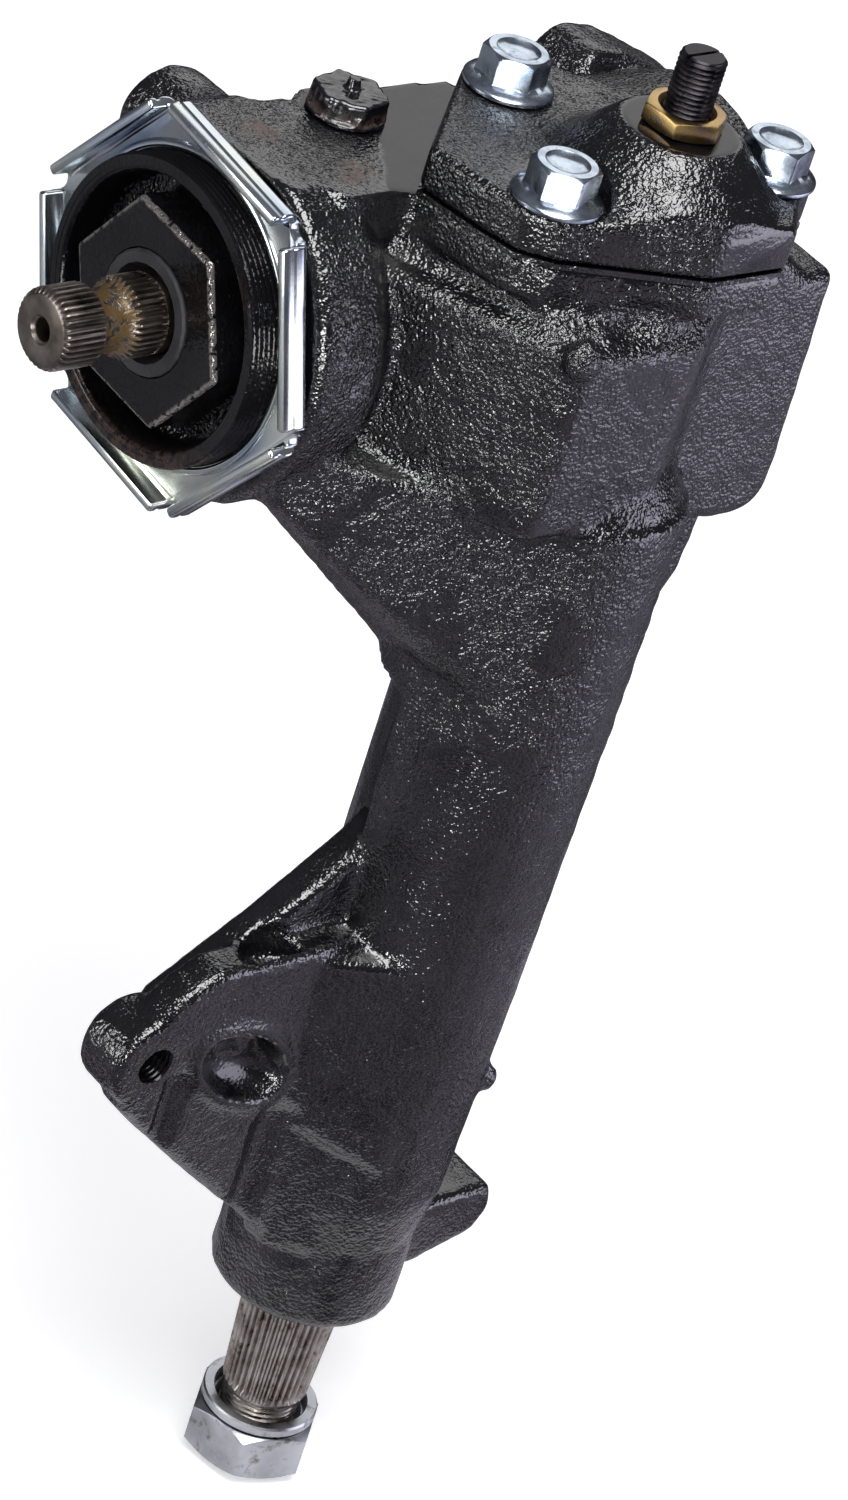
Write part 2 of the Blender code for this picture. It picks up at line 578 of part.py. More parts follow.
    shaft_bore = spun("shaft_bore", [(0, 50 * MM), (SECTOR_SEAL_RADIUS + SEAT_GAP, 50 * MM),
                                     (SECTOR_SEAL_RADIUS + SEAT_GAP, SEAL_POCKET_TOP),
                                     (BUSHING_OUTER + SEAT_GAP, SEAL_POCKET_TOP),
                                     (BUSHING_OUTER + SEAT_GAP, CAVITY_FLOOR + 5 * MM),
                                     (0, CAVITY_FLOOR + 5 * MM)])
    hub_bore = spun("hub_bore", [(0, CAVITY_FLOOR), (COVER_SPIGOT_RADIUS + 0.5 * MM, CAVITY_FLOOR),
                                 (COVER_SPIGOT_RADIUS + 0.5 * MM, HOUSING_TOP + CUT_REACH),
                                 (0, HOUSING_TOP + CUT_REACH)])
    sweep = [(CAVITY_RADIUS * math.cos(a), CAVITY_RADIUS * math.sin(a))
             for a in [math.radians(-6 + 192 * i / 20) for i in range(21)]]
    cavity = prism("sector_cavity", sweep, CAVITY_FLOOR + 0.2 * MM, CAVITY_SHOULDER)
    entry_arc = [(CAVITY_RADIUS * math.sin(a), CAVITY_RADIUS * math.cos(a))
                 for a in [math.radians(-50 + 100 * i / 12) for i in range(13)]]
    entry = prism("sector_entry", entry_arc + [(10 * MM, 2 * MM), (-10 * MM, 2 * MM)],
                  CAVITY_SHOULDER - 3 * MM, HOUSING_TOP + CUT_REACH)
    worm_bore = spun("worm_bore", [(0, -100 * MM), (ADJUSTER_RADIUS + SEAT_GAP, -100 * MM),
                                   (ADJUSTER_RADIUS + SEAT_GAP, ADJUSTER_BORE_END),
                                   (WORM_BORE_RADIUS, ADJUSTER_BORE_END), (WORM_BORE_RADIUS, WORM_BORE_END),
                                   (CUP_RADIUS + SEAT_GAP, WORM_BORE_END),
                                   (CUP_RADIUS + SEAT_GAP, END_BALLS_X + 5.3 * MM),
                                   (0, END_BALLS_X + 5.3 * MM)],
                     "X", (WORM_Y, WORM_Z), FINE_STEPS)
    cut(housing, shaft_bore, hub_bore, cavity, entry, worm_bore, solver="MANIFOLD")
    for i, centre in enumerate(COVER_BOLTS):
        radius = BOLT_RADIUS + SEAT_GAP
        low = BOLT_END - 0.4 * MM
        cut(housing, spun(f"bolt_hole_{i + 1}", [(0, low), (radius, low), (radius, HOUSING_TOP + CUT_REACH),
                                                  (0, HOUSING_TOP + CUT_REACH)],
                          "Z", centre, 14), solver="MANIFOLD")
    filler = PLUG_SHANK_RADIUS + SEAT_GAP
    cut(housing, spun("filler_hole", [(0, HOUSING_TOP - 18.6 * MM), (filler, HOUSING_TOP - 18.6 * MM),
                                      (filler, HOUSING_TOP + CUT_REACH), (0, HOUSING_TOP + CUT_REACH)],
                      "Z", PLUG_CENTRE, 14), solver="MANIFOLD")
    for name, centre, low, high in (("lug_hole", LUG_CENTRE, -20 * MM, 20 * MM),
                                    ("front_pad_hole", FRONT_PAD_CENTRE, PAD_PLANE - MOUNT_HOLE_DEPTH,
                                     110 * MM),
                                    ("rear_pad_hole", REAR_PAD_CENTRE, PAD_PLANE - MOUNT_HOLE_DEPTH,
                                     110 * MM)):
        radius = MOUNT_HOLE_RADIUS
        cut(housing, spun(name, [(0, low), (radius, low), (radius, high), (0, high)], "Y", centre, 14),
            solver="MANIFOLD")
    half_round = [(-54 * MM + 9.5 * MM * math.cos(a), -8.4 * MM + 9.5 * MM * math.sin(a))
                  for a in [math.radians(22.5 * i) for i in range(9)]]
    scallop = prism("ear_scallop", half_round, 170 * MM, 184 * MM)
    pocket = spun("ear_pocket", mm([(0, -3.5), (7, -4.5), (9.5, -8), (10.5, -14), (0, -14)]), "Y",
                  (-55 * MM, 146 * MM), 16)
    flute = spun("ear_flute", mm([(0, 60), (8, 60), (8, 126), (5, 132), (0, 134)]), "Z",
                 (-40 * MM, -15 * MM), 16)
    groove = spun("ear_groove", mm([(0, 110), (5, 110), (5, 148), (0, 153)]), "Z",
                  (-76 * MM, -12.5 * MM), 12)
    cut(housing, scallop, pocket, flute, groove, solver="MANIFOLD")
    return node(housing, "gear_housing", (0.012, 0.012, 0.014), 0.32, 0.0)


def make_cover():
    """The side cover with its boss, and the bushing, gasket and bolts that go with it."""
    plate = prism("plate", mm(COVER_OUTLINE), COVER_LOW, COVER_TOP, bevel=1.2 * MM)
    boss = spun("boss", [(0, COVER_TOP - CUT_REACH), (31 * MM, COVER_TOP - CUT_REACH),
                         (31 * MM, COVER_TOP + 0.05 * MM),
                         (27.5 * MM, COVER_TOP + 1.2 * MM), (24.5 * MM, COVER_TOP + 3.6 * MM),
                         (15 * MM, BOSS_TOP - 0.8 * MM), (BOSS_RADIUS, BOSS_TOP), (0, BOSS_TOP)],
                steps=28)
    trim = prism("boss_trim", mm([(x * 0.985, y * 0.985) for x, y in COVER_OUTLINE]), COVER_LOW + 1 * MM,
                 BOSS_TOP + CUT_REACH)
    combine(boss, "INTERSECT", trim)
    spigot = spun("spigot", [(0, COVER_SPIGOT_LOW), (COVER_SPIGOT_RADIUS - 1 * MM, COVER_SPIGOT_LOW),
                             (COVER_SPIGOT_RADIUS, COVER_SPIGOT_LOW + 1 * MM),
                             (COVER_SPIGOT_RADIUS, COVER_TOP - CUT_REACH), (0, COVER_TOP - CUT_REACH)])
    pocket = COVER_BUSHING_RADIUS + SEAT_GAP
    end_bore = UPPER_JOURNAL_RADIUS + 2 * SEAT_GAP
    thread = STUD_RADIUS + SEAT_GAP
    shoulder = COVER_BUSHING[1] + SEAT_GAP
    bore = spun("cover_bore", [(0, COVER_SPIGOT_LOW - CUT_REACH), (pocket, COVER_SPIGOT_LOW - CUT_REACH),
                               (pocket, shoulder), (end_bore, shoulder),
                               (end_bore, JOURNAL_TOP + 2 * MM), (thread, JOURNAL_TOP + 2 * MM),
                               (thread, BOSS_TOP + CUT_REACH), (0, BOSS_TOP + CUT_REACH)])
    fuse(plate, boss, spigot)
    cut(plate, bore)
    for i, centre in enumerate(COVER_BOLTS):
        radius = BOLT_RADIUS + SEAT_GAP
        hole = spun(f"cover_hole_{i + 1}", [(0, COVER_LOW - CUT_REACH), (radius, COVER_LOW - CUT_REACH),
                                            (radius, COVER_TOP + CUT_REACH),
                                            (0, COVER_TOP + CUT_REACH)], "Z", centre, 16)
        seat = spun(f"bolt_seat_{i + 1}", [(0, COVER_TOP), (BOLT_SEAT_RADIUS, COVER_TOP),
                                           (BOLT_SEAT_RADIUS, BOSS_TOP),
                                           (0, BOSS_TOP)], "Z", centre, 18)
        cut(plate, hole, seat, solver="MANIFOLD")
    node(plate, "side_cover", (0.014, 0.014, 0.016), 0.3, 0.0)

    gasket_low = HOUSING_TOP + SEAT_GAP
    gasket = prism("gasket", mm([(x * 0.99, y * 0.99) for x, y in COVER_OUTLINE]), gasket_low,
                   gasket_low + GASKET_THICKNESS)
    entry_arc = [((CAVITY_RADIUS + 0.6 * MM) * math.sin(a), (CAVITY_RADIUS + 0.6 * MM) * math.cos(a))
                 for a in [math.radians(-50.5 + 101 * i / 10) for i in range(11)]]
    opening = prism("gasket_opening", entry_arc + [(10 * MM, 2 * MM), (-10 * MM, 2 * MM)],
                    HOUSING_TOP - CUT_REACH,
                    HOUSING_TOP + CUT_REACH)
    round_hole = COVER_SPIGOT_RADIUS + 0.6 * MM
    middle = spun("gasket_middle", [(0, HOUSING_TOP - CUT_REACH - 1 * MM),
                                    (round_hole, HOUSING_TOP - CUT_REACH - 1 * MM),
                                    (round_hole, HOUSING_TOP + CUT_REACH + 1 * MM),
                                    (0, HOUSING_TOP + CUT_REACH + 1 * MM)])
    cut(gasket, opening, middle)
    for i, centre in enumerate(COVER_BOLTS):
        radius = BOLT_RADIUS + SEAT_GAP
        cut(gasket, spun(f"gasket_hole_{i + 1}",
                         [(0, HOUSING_TOP - CUT_REACH), (radius, HOUSING_TOP - CUT_REACH),
                                                  (radius, HOUSING_TOP + CUT_REACH),
                                                  (0, HOUSING_TOP + CUT_REACH)], "Z", centre, 12))
    node(gasket, "cover_gasket", (0.06, 0.05, 0.04), 0.8, 0.0)

    inner = UPPER_JOURNAL_RADIUS + SEAT_GAP
    sleeve = spun("sleeve", ring_profile(inner, COVER_BUSHING_RADIUS, *COVER_BUSHING))
    node(sleeve, "cover_bushing", (0.45, 0.32, 0.16), 0.35, 1.0)


def ring_profile(inner, outer, low, high):
    return [(inner, low), (outer, low), (outer, high), (inner, high)]


def make_bolts():
    """Flange-head bolts of the side cover, which share one shape."""
    first = COVER_BOLTS[0]
    seat = COVER_TOP + SEAT_GAP
    shank = spun("shank", [(0, BOLT_END), (BOLT_RADIUS - 0.8 * MM, BOLT_END),
                           (BOLT_RADIUS, BOLT_END + 1 * MM),
                           (BOLT_RADIUS, seat), (BOLT_FLANGE_RADIUS, seat),
                           (BOLT_FLANGE_RADIUS, seat + 1.2 * MM),
                           (7.6 * MM, seat + 2.6 * MM), (0, seat + 2.6 * MM)], "Z", first, 16)
    corner = BOLT_FLATS / math.sqrt(3)
    head = prism("head", regular(corner, 6, 0.3, first), seat + 1 * MM, seat + BOLT_HEAD_HEIGHT)
    crown = spun("crown", [(0, seat), (BOLT_FLANGE_RADIUS + 1 * MM, seat),
                           (BOLT_FLANGE_RADIUS + 1 * MM, seat + BOLT_HEAD_HEIGHT - 3.4 * MM),
                           (BOLT_FLATS / 2, seat + BOLT_HEAD_HEIGHT), (5.2 * MM, seat + BOLT_HEAD_HEIGHT),
                           (3.6 * MM, seat + BOLT_HEAD_HEIGHT - 0.9 * MM),
                           (0, seat + BOLT_HEAD_HEIGHT - 0.9 * MM)],
                 "Z", first, 12)
    combine(head, "INTERSECT", crown)
    fuse(shank, head)
    origin = (first[0], first[1], COVER_TOP)
    bolt = node(shank, "cover_bolt_1", (0.62, 0.66, 0.72), 0.25, 1.0, origin)
    bolt.data = bpy.data.meshes.new_from_object(bolt.evaluated_get(bpy.context.evaluated_depsgraph_get()))
    bolt.data.name = "cover_bolt"
    bolt.modifiers.clear()
    bolt.data.shade_smooth()
    bolt.data.set_sharp_from_angle(angle=math.radians(34))
    for i, centre in enumerate(COVER_BOLTS[1:]):
        copy_of(bolt, f"cover_bolt_{i + 2}", (centre[0] - first[0], centre[1] - first[1], 0))


def make_lash_adjuster():
    head_low = SLOT_FLOOR + SHIM_THICKNESS + 2 * SEAT_GAP
    stud = spun("stud", [(0, head_low), (STUD_HEAD_RADIUS, head_low),
                         (STUD_HEAD_RADIUS, head_low + STUD_HEAD_HEIGHT),
                         (STUD_RADIUS, head_low + STUD_HEAD_HEIGHT), (STUD_RADIUS, STUD_TOP - 1 * MM),
                         (STUD_RADIUS - 1 * MM, STUD_TOP), (0, STUD_TOP)], steps=20)
    slot = box("driver_slot", (-8 * MM, -0.7 * MM, STUD_TOP - 2.2 * MM),
               (8 * MM, 0.7 * MM, STUD_TOP + 2 * MM))
    cut(stud, slot)
    node(stud, "lash_adjuster_screw", (0.05, 0.05, 0.055), 0.35, 1.0)
    shim = spun("shim", [(0, SLOT_FLOOR + SEAT_GAP), (STUD_HEAD_RADIUS - 0.4 * MM, SLOT_FLOOR + SEAT_GAP),
                         (STUD_HEAD_RADIUS - 0.4 * MM, SLOT_FLOOR + SEAT_GAP + SHIM_THICKNESS),
                         (0, SLOT_FLOOR + SEAT_GAP + SHIM_THICKNESS)], steps=16)
    node(shim, "lash_adjuster_shim", (0.4, 0.4, 0.42), 0.3, 1.0)
    low = BOSS_TOP + SEAT_GAP
    nut = chamfered_nut("jam", JAM_NUT_FLATS, low, JAM_NUT_TOP, STUD_RADIUS + SEAT_GAP, 0.6)
    node(nut, "lash_adjuster_jam_nut", (0.62, 0.45, 0.16), 0.3, 1.0)


def chamfered_nut(name, flats, low, high, bore, turn):
    """A hexagonal nut with both rims chamfered at thirty degrees."""
    corner = flats / math.sqrt(3)
    drop = (corner - flats / 2) * math.tan(math.radians(30)) + 0.3 * MM
    body = prism(name, regular(corner, 6, turn), low, high)
    rim = spun(name + "_rim", [(0, low), (flats / 2 - 0.2 * MM, low), (corner, low + drop),
                               (corner, high - drop),
                               (flats / 2 - 0.2 * MM, high), (0, high)], steps=18)
    hole = spun(name + "_hole", [(0, low - 1 * MM), (bore, low - 1 * MM), (bore, high + 1 * MM),
                                 (0, high + 1 * MM)], steps=16)
    combine(body, "INTERSECT", rim)
    return cut(body, hole)


def make_filler_plug():
    low = HOUSING_TOP - 8.1 * MM
    seat = HOUSING_TOP + SEAT_GAP
    shank = spun("plug", [(0, low), (PLUG_SHANK_RADIUS, low), (PLUG_SHANK_RADIUS, seat), (9.5 * MM, seat),
                          (9.5 * MM, seat + 1.2 * MM), (8 * MM, seat + 1.6 * MM), (0, seat + 1.6 * MM)],
                 "Z", PLUG_CENTRE, 18)
    head = prism("plug_head", regular(9.6 * MM, 6, 0.2, PLUG_CENTRE), seat + 1 * MM, seat + 6.4 * MM,
                 bevel=0.8 * MM)
    nub = spun("plug_nub", [(0, seat + 5 * MM), (2.4 * MM, seat + 5 * MM), (1.6 * MM, seat + 9 * MM),
                            (0, seat + 9.3 * MM)], "Z", PLUG_CENTRE, 10)
    fuse(shank, head, nub)
    node(shank, "filler_plug", (0.012, 0.012, 0.014), 0.35, 0.0)


def make_sector_shaft():
    """Shaft, serrated end and toothed sector in one piece, with a T-slot in its top."""
    shaft = spun("shaft", [(0, 0), (8.8 * MM, 0), (THREAD_RADIUS, 1.2 * MM), (THREAD_RADIUS, 20 * MM),
                           (SERRATION_LOW_RADIUS - 0.8 * MM, 21 * MM),
                           (SERRATION_LOW_RADIUS - 0.8 * MM, 22.5 * MM),
                           (SERRATION_HIGH_RADIUS - 0.9 * MM, SERRATION_HIGH), (12.6 * MM, 59.5 * MM),
                           (SHAFT_RADIUS, 61.5 * MM), (SHAFT_RADIUS, 310 * MM),
                           (UPPER_JOURNAL_RADIUS, 310 * MM),
                           (UPPER_JOURNAL_RADIUS, JOURNAL_TOP - 0.8 * MM),
                           (UPPER_JOURNAL_RADIUS - 0.8 * MM, JOURNAL_TOP),
                           (0, JOURNAL_TOP)], steps=ROUND_STEPS)
    low_teeth = toothed(SERRATION_LOW_RADIUS, SERRATION_LOW_RADIUS - 1.1 * MM, SERRATION_COUNT)
    high_teeth = toothed(SERRATION_HIGH_RADIUS, SERRATION_HIGH_RADIUS - 1.1 * MM, SERRATION_COUNT)
    serration = prism("serration", low_teeth, SERRATION_LOW, SERRATION_HIGH, top=high_teeth)
    outline = []
    middle = (SECTOR_TEETH - 1) / 2
    for i in range(SECTOR_TEETH):
        outline += tooth_outline((i - middle) * 2 * math.pi / PITCH_CIRCLE_TEETH)
    hub = [(17 * MM * math.cos(a), 17 * MM * math.sin(a))
           for a in [math.radians(-8 - 164 * i / 10) for i in range(11)]]
    gear = prism("gear", outline + hub, SECTOR_LOW, SECTOR_HIGH)
    fuse(shaft, serration, gear)
    head = box("t_slot_head", (-20 * MM, -8.4 * MM, SLOT_FLOOR),
               (20 * MM, 8.4 * MM, SLOT_FLOOR + HEAD_SLOT_HEIGHT))
    stem = box("t_slot_stem", (-20 * MM, -STUD_RADIUS - 0.4 * MM, SLOT_FLOOR + 1 * MM),
               (20 * MM, STUD_RADIUS + 0.4 * MM, JOURNAL_TOP + 2 * MM))
    cut(shaft, head, stem)
    node(shaft, "sector_shaft", (0.32, 0.29, 0.26), 0.35, 1.0)


def make_shaft_rings():
    """Bushings and seal of the sector shaft, then its lock washer and nut."""
    inner = SHAFT_RADIUS + SEAT_GAP
    lower = spun("lower_sleeve", ring_profile(inner, BUSHING_OUTER, *LOWER_BUSHING))
    node(lower, "lower_sector_bushing", (0.45, 0.32, 0.16), 0.35, 1.0)
    upper = spun("upper_sleeve", ring_profile(inner, BUSHING_OUTER, *UPPER_BUSHING))
    node(upper, "upper_sector_bushing", (0.45, 0.32, 0.16), 0.35, 1.0)
    top = SEAL_POCKET_TOP - SEAT_GAP
    seal = spun("lip_seal", [(inner, 63 * MM), (16.2 * MM, 60 * MM), (17.5 * MM, 58.9 * MM),
                             (SECTOR_SEAL_RADIUS, 58.3 * MM), (SECTOR_SEAL_RADIUS, top), (16.5 * MM, top),
                             (16.5 * MM, 64.5 * MM), (inner, 64.5 * MM)])
    node(seal, "sector_shaft_seal", (0.02, 0.02, 0.02), 0.6, 0.0)
    washer = spun("washer", ring_profile(*PITMAN_WASHER_RADII, *PITMAN_WASHER), steps=28)
    split = box("washer_split", (10 * MM, -0.8 * MM, 10 * MM), (20 * MM, 0.8 * MM, 20 * MM))
    split.data.transform(Matrix.Rotation(math.radians(20), 4, "Z"))
    cut(washer, split)
    node(washer, "pitman_lock_washer", (0.5, 0.51, 0.53), 0.4, 1.0)
    nut = chamfered_nut("pitman", PITMAN_NUT_FLATS, *PITMAN_NUT, THREAD_RADIUS + SEAT_GAP,
                        math.radians(220))
    node(nut, "pitman_nut", (0.5, 0.51, 0.53), 0.4, 1.0)


def make_worm():
    """Input shaft, worm and bearing seats in one piece."""
    axis = (WORM_Y, WORM_Z)
    lead_in = INPUT_END + 1.1 * MM
    groove_low, groove_high = SPLINE_GROOVE
    race = RACE_CIRCLE - RACE_BALL_RADIUS - SEAT_GAP
    plain_end = 49 * MM
    input_side = spun("input_side", [
        (0, INPUT_END), (SPLINE_ROOT - 0.5 * MM, INPUT_END), (SPLINE_ROOT - 0.2 * MM, lead_in),
        (SPLINE_ROOT - 0.2 * MM, groove_low), (SPLINE_GROOVE_RADIUS, groove_low + 1.6 * MM),
        (SPLINE_GROOVE_RADIUS, groove_high - 1.6 * MM), (SPLINE_ROOT - 0.2 * MM, groove_high),
        (SPLINE_ROOT - 0.2 * MM, SPLINE_END - 0.3 * MM), (SPLINE_RADIUS, SPLINE_END),
        (SPLINE_RADIUS, INPUT_BALLS_X - 4 * MM), (race, INPUT_BALLS_X - 3.6 * MM), (race, INPUT_BALLS_X),
        (race + 0.6 * MM, INPUT_BALLS_X + 2.2 * MM), (WORM_RADIUS, INPUT_BALLS_X + 3.6 * MM),
        (WORM_RADIUS, -plain_end), (WORM_RADIUS - 2 * MM, -plain_end + 2 * MM),
        (7.5 * MM, -plain_end + 2.5 * MM),
        (7.5 * MM, plain_end - 2.5 * MM), (WORM_RADIUS - 2 * MM, plain_end - 2 * MM),
        (WORM_RADIUS, plain_end),
        (WORM_RADIUS, END_BALLS_X - 3.6 * MM), (race + 0.6 * MM, END_BALLS_X - 2.2 * MM),
        (race, END_BALLS_X),
        (race, WORM_SHAFT_END - 1 * MM), (race - 1 * MM, WORM_SHAFT_END), (0, WORM_SHAFT_END)], "X",
        axis, 18)
    teeth = [(a + WORM_Y, b + WORM_Z) for a, b in toothed(SPLINE_RADIUS, SPLINE_ROOT, SPLINE_COUNT)]
    small = [(a + WORM_Y, b + WORM_Z) for a, b in toothed(SPLINE_RADIUS - 0.7 * MM,
                                                          SPLINE_ROOT - 0.5 * MM, SPLINE_COUNT)]
    outer_tip = prism("outer_tip", small, INPUT_END + 0.3 * MM, lead_in, "X", top=teeth)
    outer_spline = prism("outer_spline", teeth, lead_in, groove_low, "X")
    inner_spline = prism("inner_spline", teeth, groove_high, SPLINE_END + 0.1 * MM, "X")
    centre_hole = spun("centre_hole", [(0, INPUT_END + 6 * MM), (1.2 * MM, INPUT_END + 4.5 * MM),
                                       (3.8 * MM, INPUT_END + 0.2 * MM), (4.4 * MM, INPUT_END - 0.4 * MM),
                                       (0, INPUT_END - 0.4 * MM)], "X", axis, 12)
    thread = helicoid("worm_thread", WORM_RADIUS, WORM_GROOVE_RADIUS, 2 * plain_end - 1 * MM)
    fuse(input_side, outer_tip, outer_spline, inner_spline, thread)
    cut(input_side, centre_hole)
    node(input_side, "worm_shaft", (0.3, 0.26, 0.22), 0.35, 1.0, (INPUT_END, WORM_Y, WORM_Z))


def make_ball_nut():
    """The ball nut: block, rack, ball groove and guide holes."""
    rack_root = PITCH_RADIUS + DEDENDUM
    body = box("nut_body", (-NUT_HALF_LENGTH, rack_root, WORM_Z - NUT_HALF_HEIGHT),
               (NUT_HALF_LENGTH, WORM_Y + NUT_BACK, WORM_Z + NUT_HALF_HEIGHT), bevel=2 * MM)
    pitch = 2 * math.pi * PITCH_RADIUS / PITCH_CIRCLE_TEETH
    slope = math.tan(PRESSURE_ANGLE)
    tip = PITCH_RADIUS - ADDENDUM
    at_pitch = pitch / 4 + BACKLASH / 4
    wide = at_pitch + slope * ADDENDUM
    narrow = at_pitch - slope * DEDENDUM
    outline = [(-2 * pitch, rack_root + 3 * MM), (-2 * pitch + narrow, rack_root), (-2 * pitch + wide, tip)]
    for k in (-1, 0, 1):
        x = k * pitch
        outline += [(x - wide, tip), (x - narrow, rack_root), (x + narrow, rack_root), (x + wide, tip)]
    outline += [(2 * pitch - wide, tip), (2 * pitch - narrow, rack_root), (2 * pitch, rack_root + 3 * MM)]
    rack = prism("rack", outline, WORM_Z - RACK_HALF_HEIGHT, WORM_Z + RACK_HALF_HEIGHT)
    fuse(body, rack)
    cut(body, helicoid("nut_thread", NUT_LAND_RADIUS, NUT_GROOVE_RADIUS, 2 * NUT_HALF_LENGTH + 6 * MM),
        solver="MANIFOLD")
    for number, start_x in enumerate(circuit_starts()):
        for leg, (x, z) in enumerate(((start_x, BALL_CIRCLE),
                                      (start_x + WORM_LEAD * CIRCUIT_TURNS, -BALL_CIRCLE))):
            hole = spun(f"leg_{number}_{leg}", [
                (0, WORM_Y), (GUIDE_BORE, WORM_Y), (GUIDE_BORE, WORM_Y + GUIDE_FOOT - 0.3 * MM),
                (GUIDE_RADIUS + SEAT_GAP, WORM_Y + GUIDE_FOOT - 0.3 * MM),
                (GUIDE_RADIUS + SEAT_GAP, WORM_Y + 24 * MM),
                (0, WORM_Y + 24 * MM)], "Y", (x, WORM_Z + z), 12)
            cut(body, hole, solver="MANIFOLD")
        cut(body, guide_trough(f"trough_{number}", start_x), solver="MANIFOLD")
    for number, side in enumerate((1, -1)):
        x = side * CLAMP_SCREW[0]
        z = WORM_Z + side * CLAMP_SCREW[1]
        cut(body, spun(f"screw_hole_{number}", [(0, WORM_Y + 13.6 * MM), (2.2 * MM, WORM_Y + 13.6 * MM),
                                                (2.2 * MM, WORM_Y + 24 * MM), (0, WORM_Y + 24 * MM)],
                                                "Y", (x, z), 10),
            solver="MANIFOLD")
    return node(body, "ball_nut", (0.34, 0.34, 0.36), 0.3, 1.0, (0, WORM_Y, WORM_Z))


def circuit_starts():
    """Where each circuit's first leg stands along the worm."""
    first = WORM_LEAD / 4
    return (first - 2 * WORM_LEAD, first)


def guide_trough(name, start_x):
    """Clearance in the back of the nut for the bridge of a ball guide."""
    path = guide_path(start_x, GUIDE_FOOT)[1:-1]
    over = Vector((WORM_LEAD * CIRCUIT_TURNS, 0, -2 * BALL_CIRCLE)).normalized()
    across = Vector((0, 1, 0)).cross(over)
    frames = []
    for i, point in enumerate(path):
        along = (path[min(i + 1, len(path) - 1)] - path[max(i - 1, 0)]).normalized()
        frames.append((point, across, along.cross(across), GUIDE_RADIUS + SEAT_GAP))
    return swept(name, frames, regular(1.03, 12, math.pi / 12), False)


def make_ball_circuits():
    """The two closed ball trains, their guide halves and the clamp over them."""
    home = (0, WORM_Y, WORM_Z)
    for number, start_x in enumerate(circuit_starts()):
        train = bead_string("train", circuit_path(start_x), BALLS_PER_CIRCUIT, BALL_RADIUS)
        node(train, f"ball_circuit_{number + 1}", (0.7, 0.7, 0.72), 0.12, 1.0, home)
        for letter, side in (("a", 1), ("b", -1)):
            half = guide_half("half", start_x, side)
            node(half, f"ball_guide_{number + 1}{letter}", (0.42, 0.42, 0.44), 0.35, 1.0, home)
    low, high = CLAMP_PLATE
    plate = box("clamp", (-19 * MM, WORM_Y + low, WORM_Z - 4.5 * MM),
                (19 * MM, WORM_Y + high, WORM_Z + 4.5 * MM))
    for number, side in enumerate((1, -1)):
        x = side * CLAMP_SCREW[0]
        z = side * CLAMP_SCREW[1]
        foot = box(f"foot_{number}", (x - 2.6 * MM, WORM_Y + NUT_BACK + SEAT_GAP, WORM_Z + z - 3.4 * MM),
                   (x + 2.6 * MM, WORM_Y + 21 * MM, WORM_Z + z + 3.4 * MM))
        inner_z = sorted((WORM_Z + side * 3.2 * MM, WORM_Z + side * 5.6 * MM))
        riser = box(f"riser_{number}", (x - 1.6 * MM, WORM_Y + 18.5 * MM, inner_z[0]),
                    (x + 1.6 * MM, WORM_Y + high - 0.1 * MM, inner_z[1]))
        hole = spun(f"clamp_hole_{number}", [(0, WORM_Y + 10 * MM), (2.0 * MM, WORM_Y + 10 * MM),
                                             (2.0 * MM, WORM_Y + 24 * MM), (0, WORM_Y + 24 * MM)],
                    "Y", (x, WORM_Z + z), 10)
        fuse(plate, foot, riser)
        cut(plate, hole)
    node(plate, "ball_guide_clamp", (0.42, 0.42, 0.44), 0.35, 1.0, home)
    for number, side in enumerate((1, -1)):
        x = side * CLAMP_SCREW[0]
        z = WORM_Z + side * CLAMP_SCREW[1]
        seat = WORM_Y + 21 * MM + SEAT_GAP
        screw = spun("screw", [(0, WORM_Y + 14 * MM), (1.7 * MM, WORM_Y + 14 * MM), (1.7 * MM, seat),
                               (2.6 * MM, seat),
                               (2.6 * MM, seat + 2.2 * MM), (0, seat + 2.2 * MM)], "Y", (x, z), 10)
        node(screw, f"guide_clamp_screw_{number + 1}", (0.3, 0.3, 0.32), 0.35, 1.0, home)


def bearing_cup(name, x, side):
    """A cup whose closed side faces away from the nut."""
    ring = [(RACE_CIRCLE + 3.55 * MM, 3 * MM), (RACE_CIRCLE + 3.55 * MM, -0.3 * MM),
            (RACE_CIRCLE + 2.8 * MM, -2.7 * MM),
            (RACE_CIRCLE + 0.4 * MM, -3.9 * MM), (RACE_CIRCLE + 0.4 * MM, -5 * MM), (CUP_RADIUS, -5 * MM),
            (CUP_RADIUS, 3 * MM)]
    return spun(name, [(r, x + side * h) for r, h in ring], "X", (WORM_Y, WORM_Z))


def make_bearings():
    axis = (WORM_Y, WORM_Z)
    steel = ((0.4, 0.4, 0.42), 0.25, 1.0)
    for label, x, side in (("input", INPUT_BALLS_X, 1), ("end", END_BALLS_X, -1)):
        node(bearing_cup("cup", x, side), f"{label}_bearing_cup", *steel)
        circle = [worm_point(x, 2 * math.pi * i / 48, RACE_CIRCLE) for i in range(48)]
        balls = bead_string("balls", circle, RACE_BALLS, RACE_BALL_RADIUS)
        node(balls, f"{label}_bearing_balls", (0.7, 0.7, 0.72), 0.12, 1.0, (x, WORM_Y, WORM_Z))
    keeper = spun("keeper", ring_profile(16 * MM, 21.4 * MM, ADJUSTER_INNER_END - 0.7 * MM,
                                         ADJUSTER_INNER_END),
                  "X", axis, 24)
    node(keeper, "input_bearing_retainer", *steel)


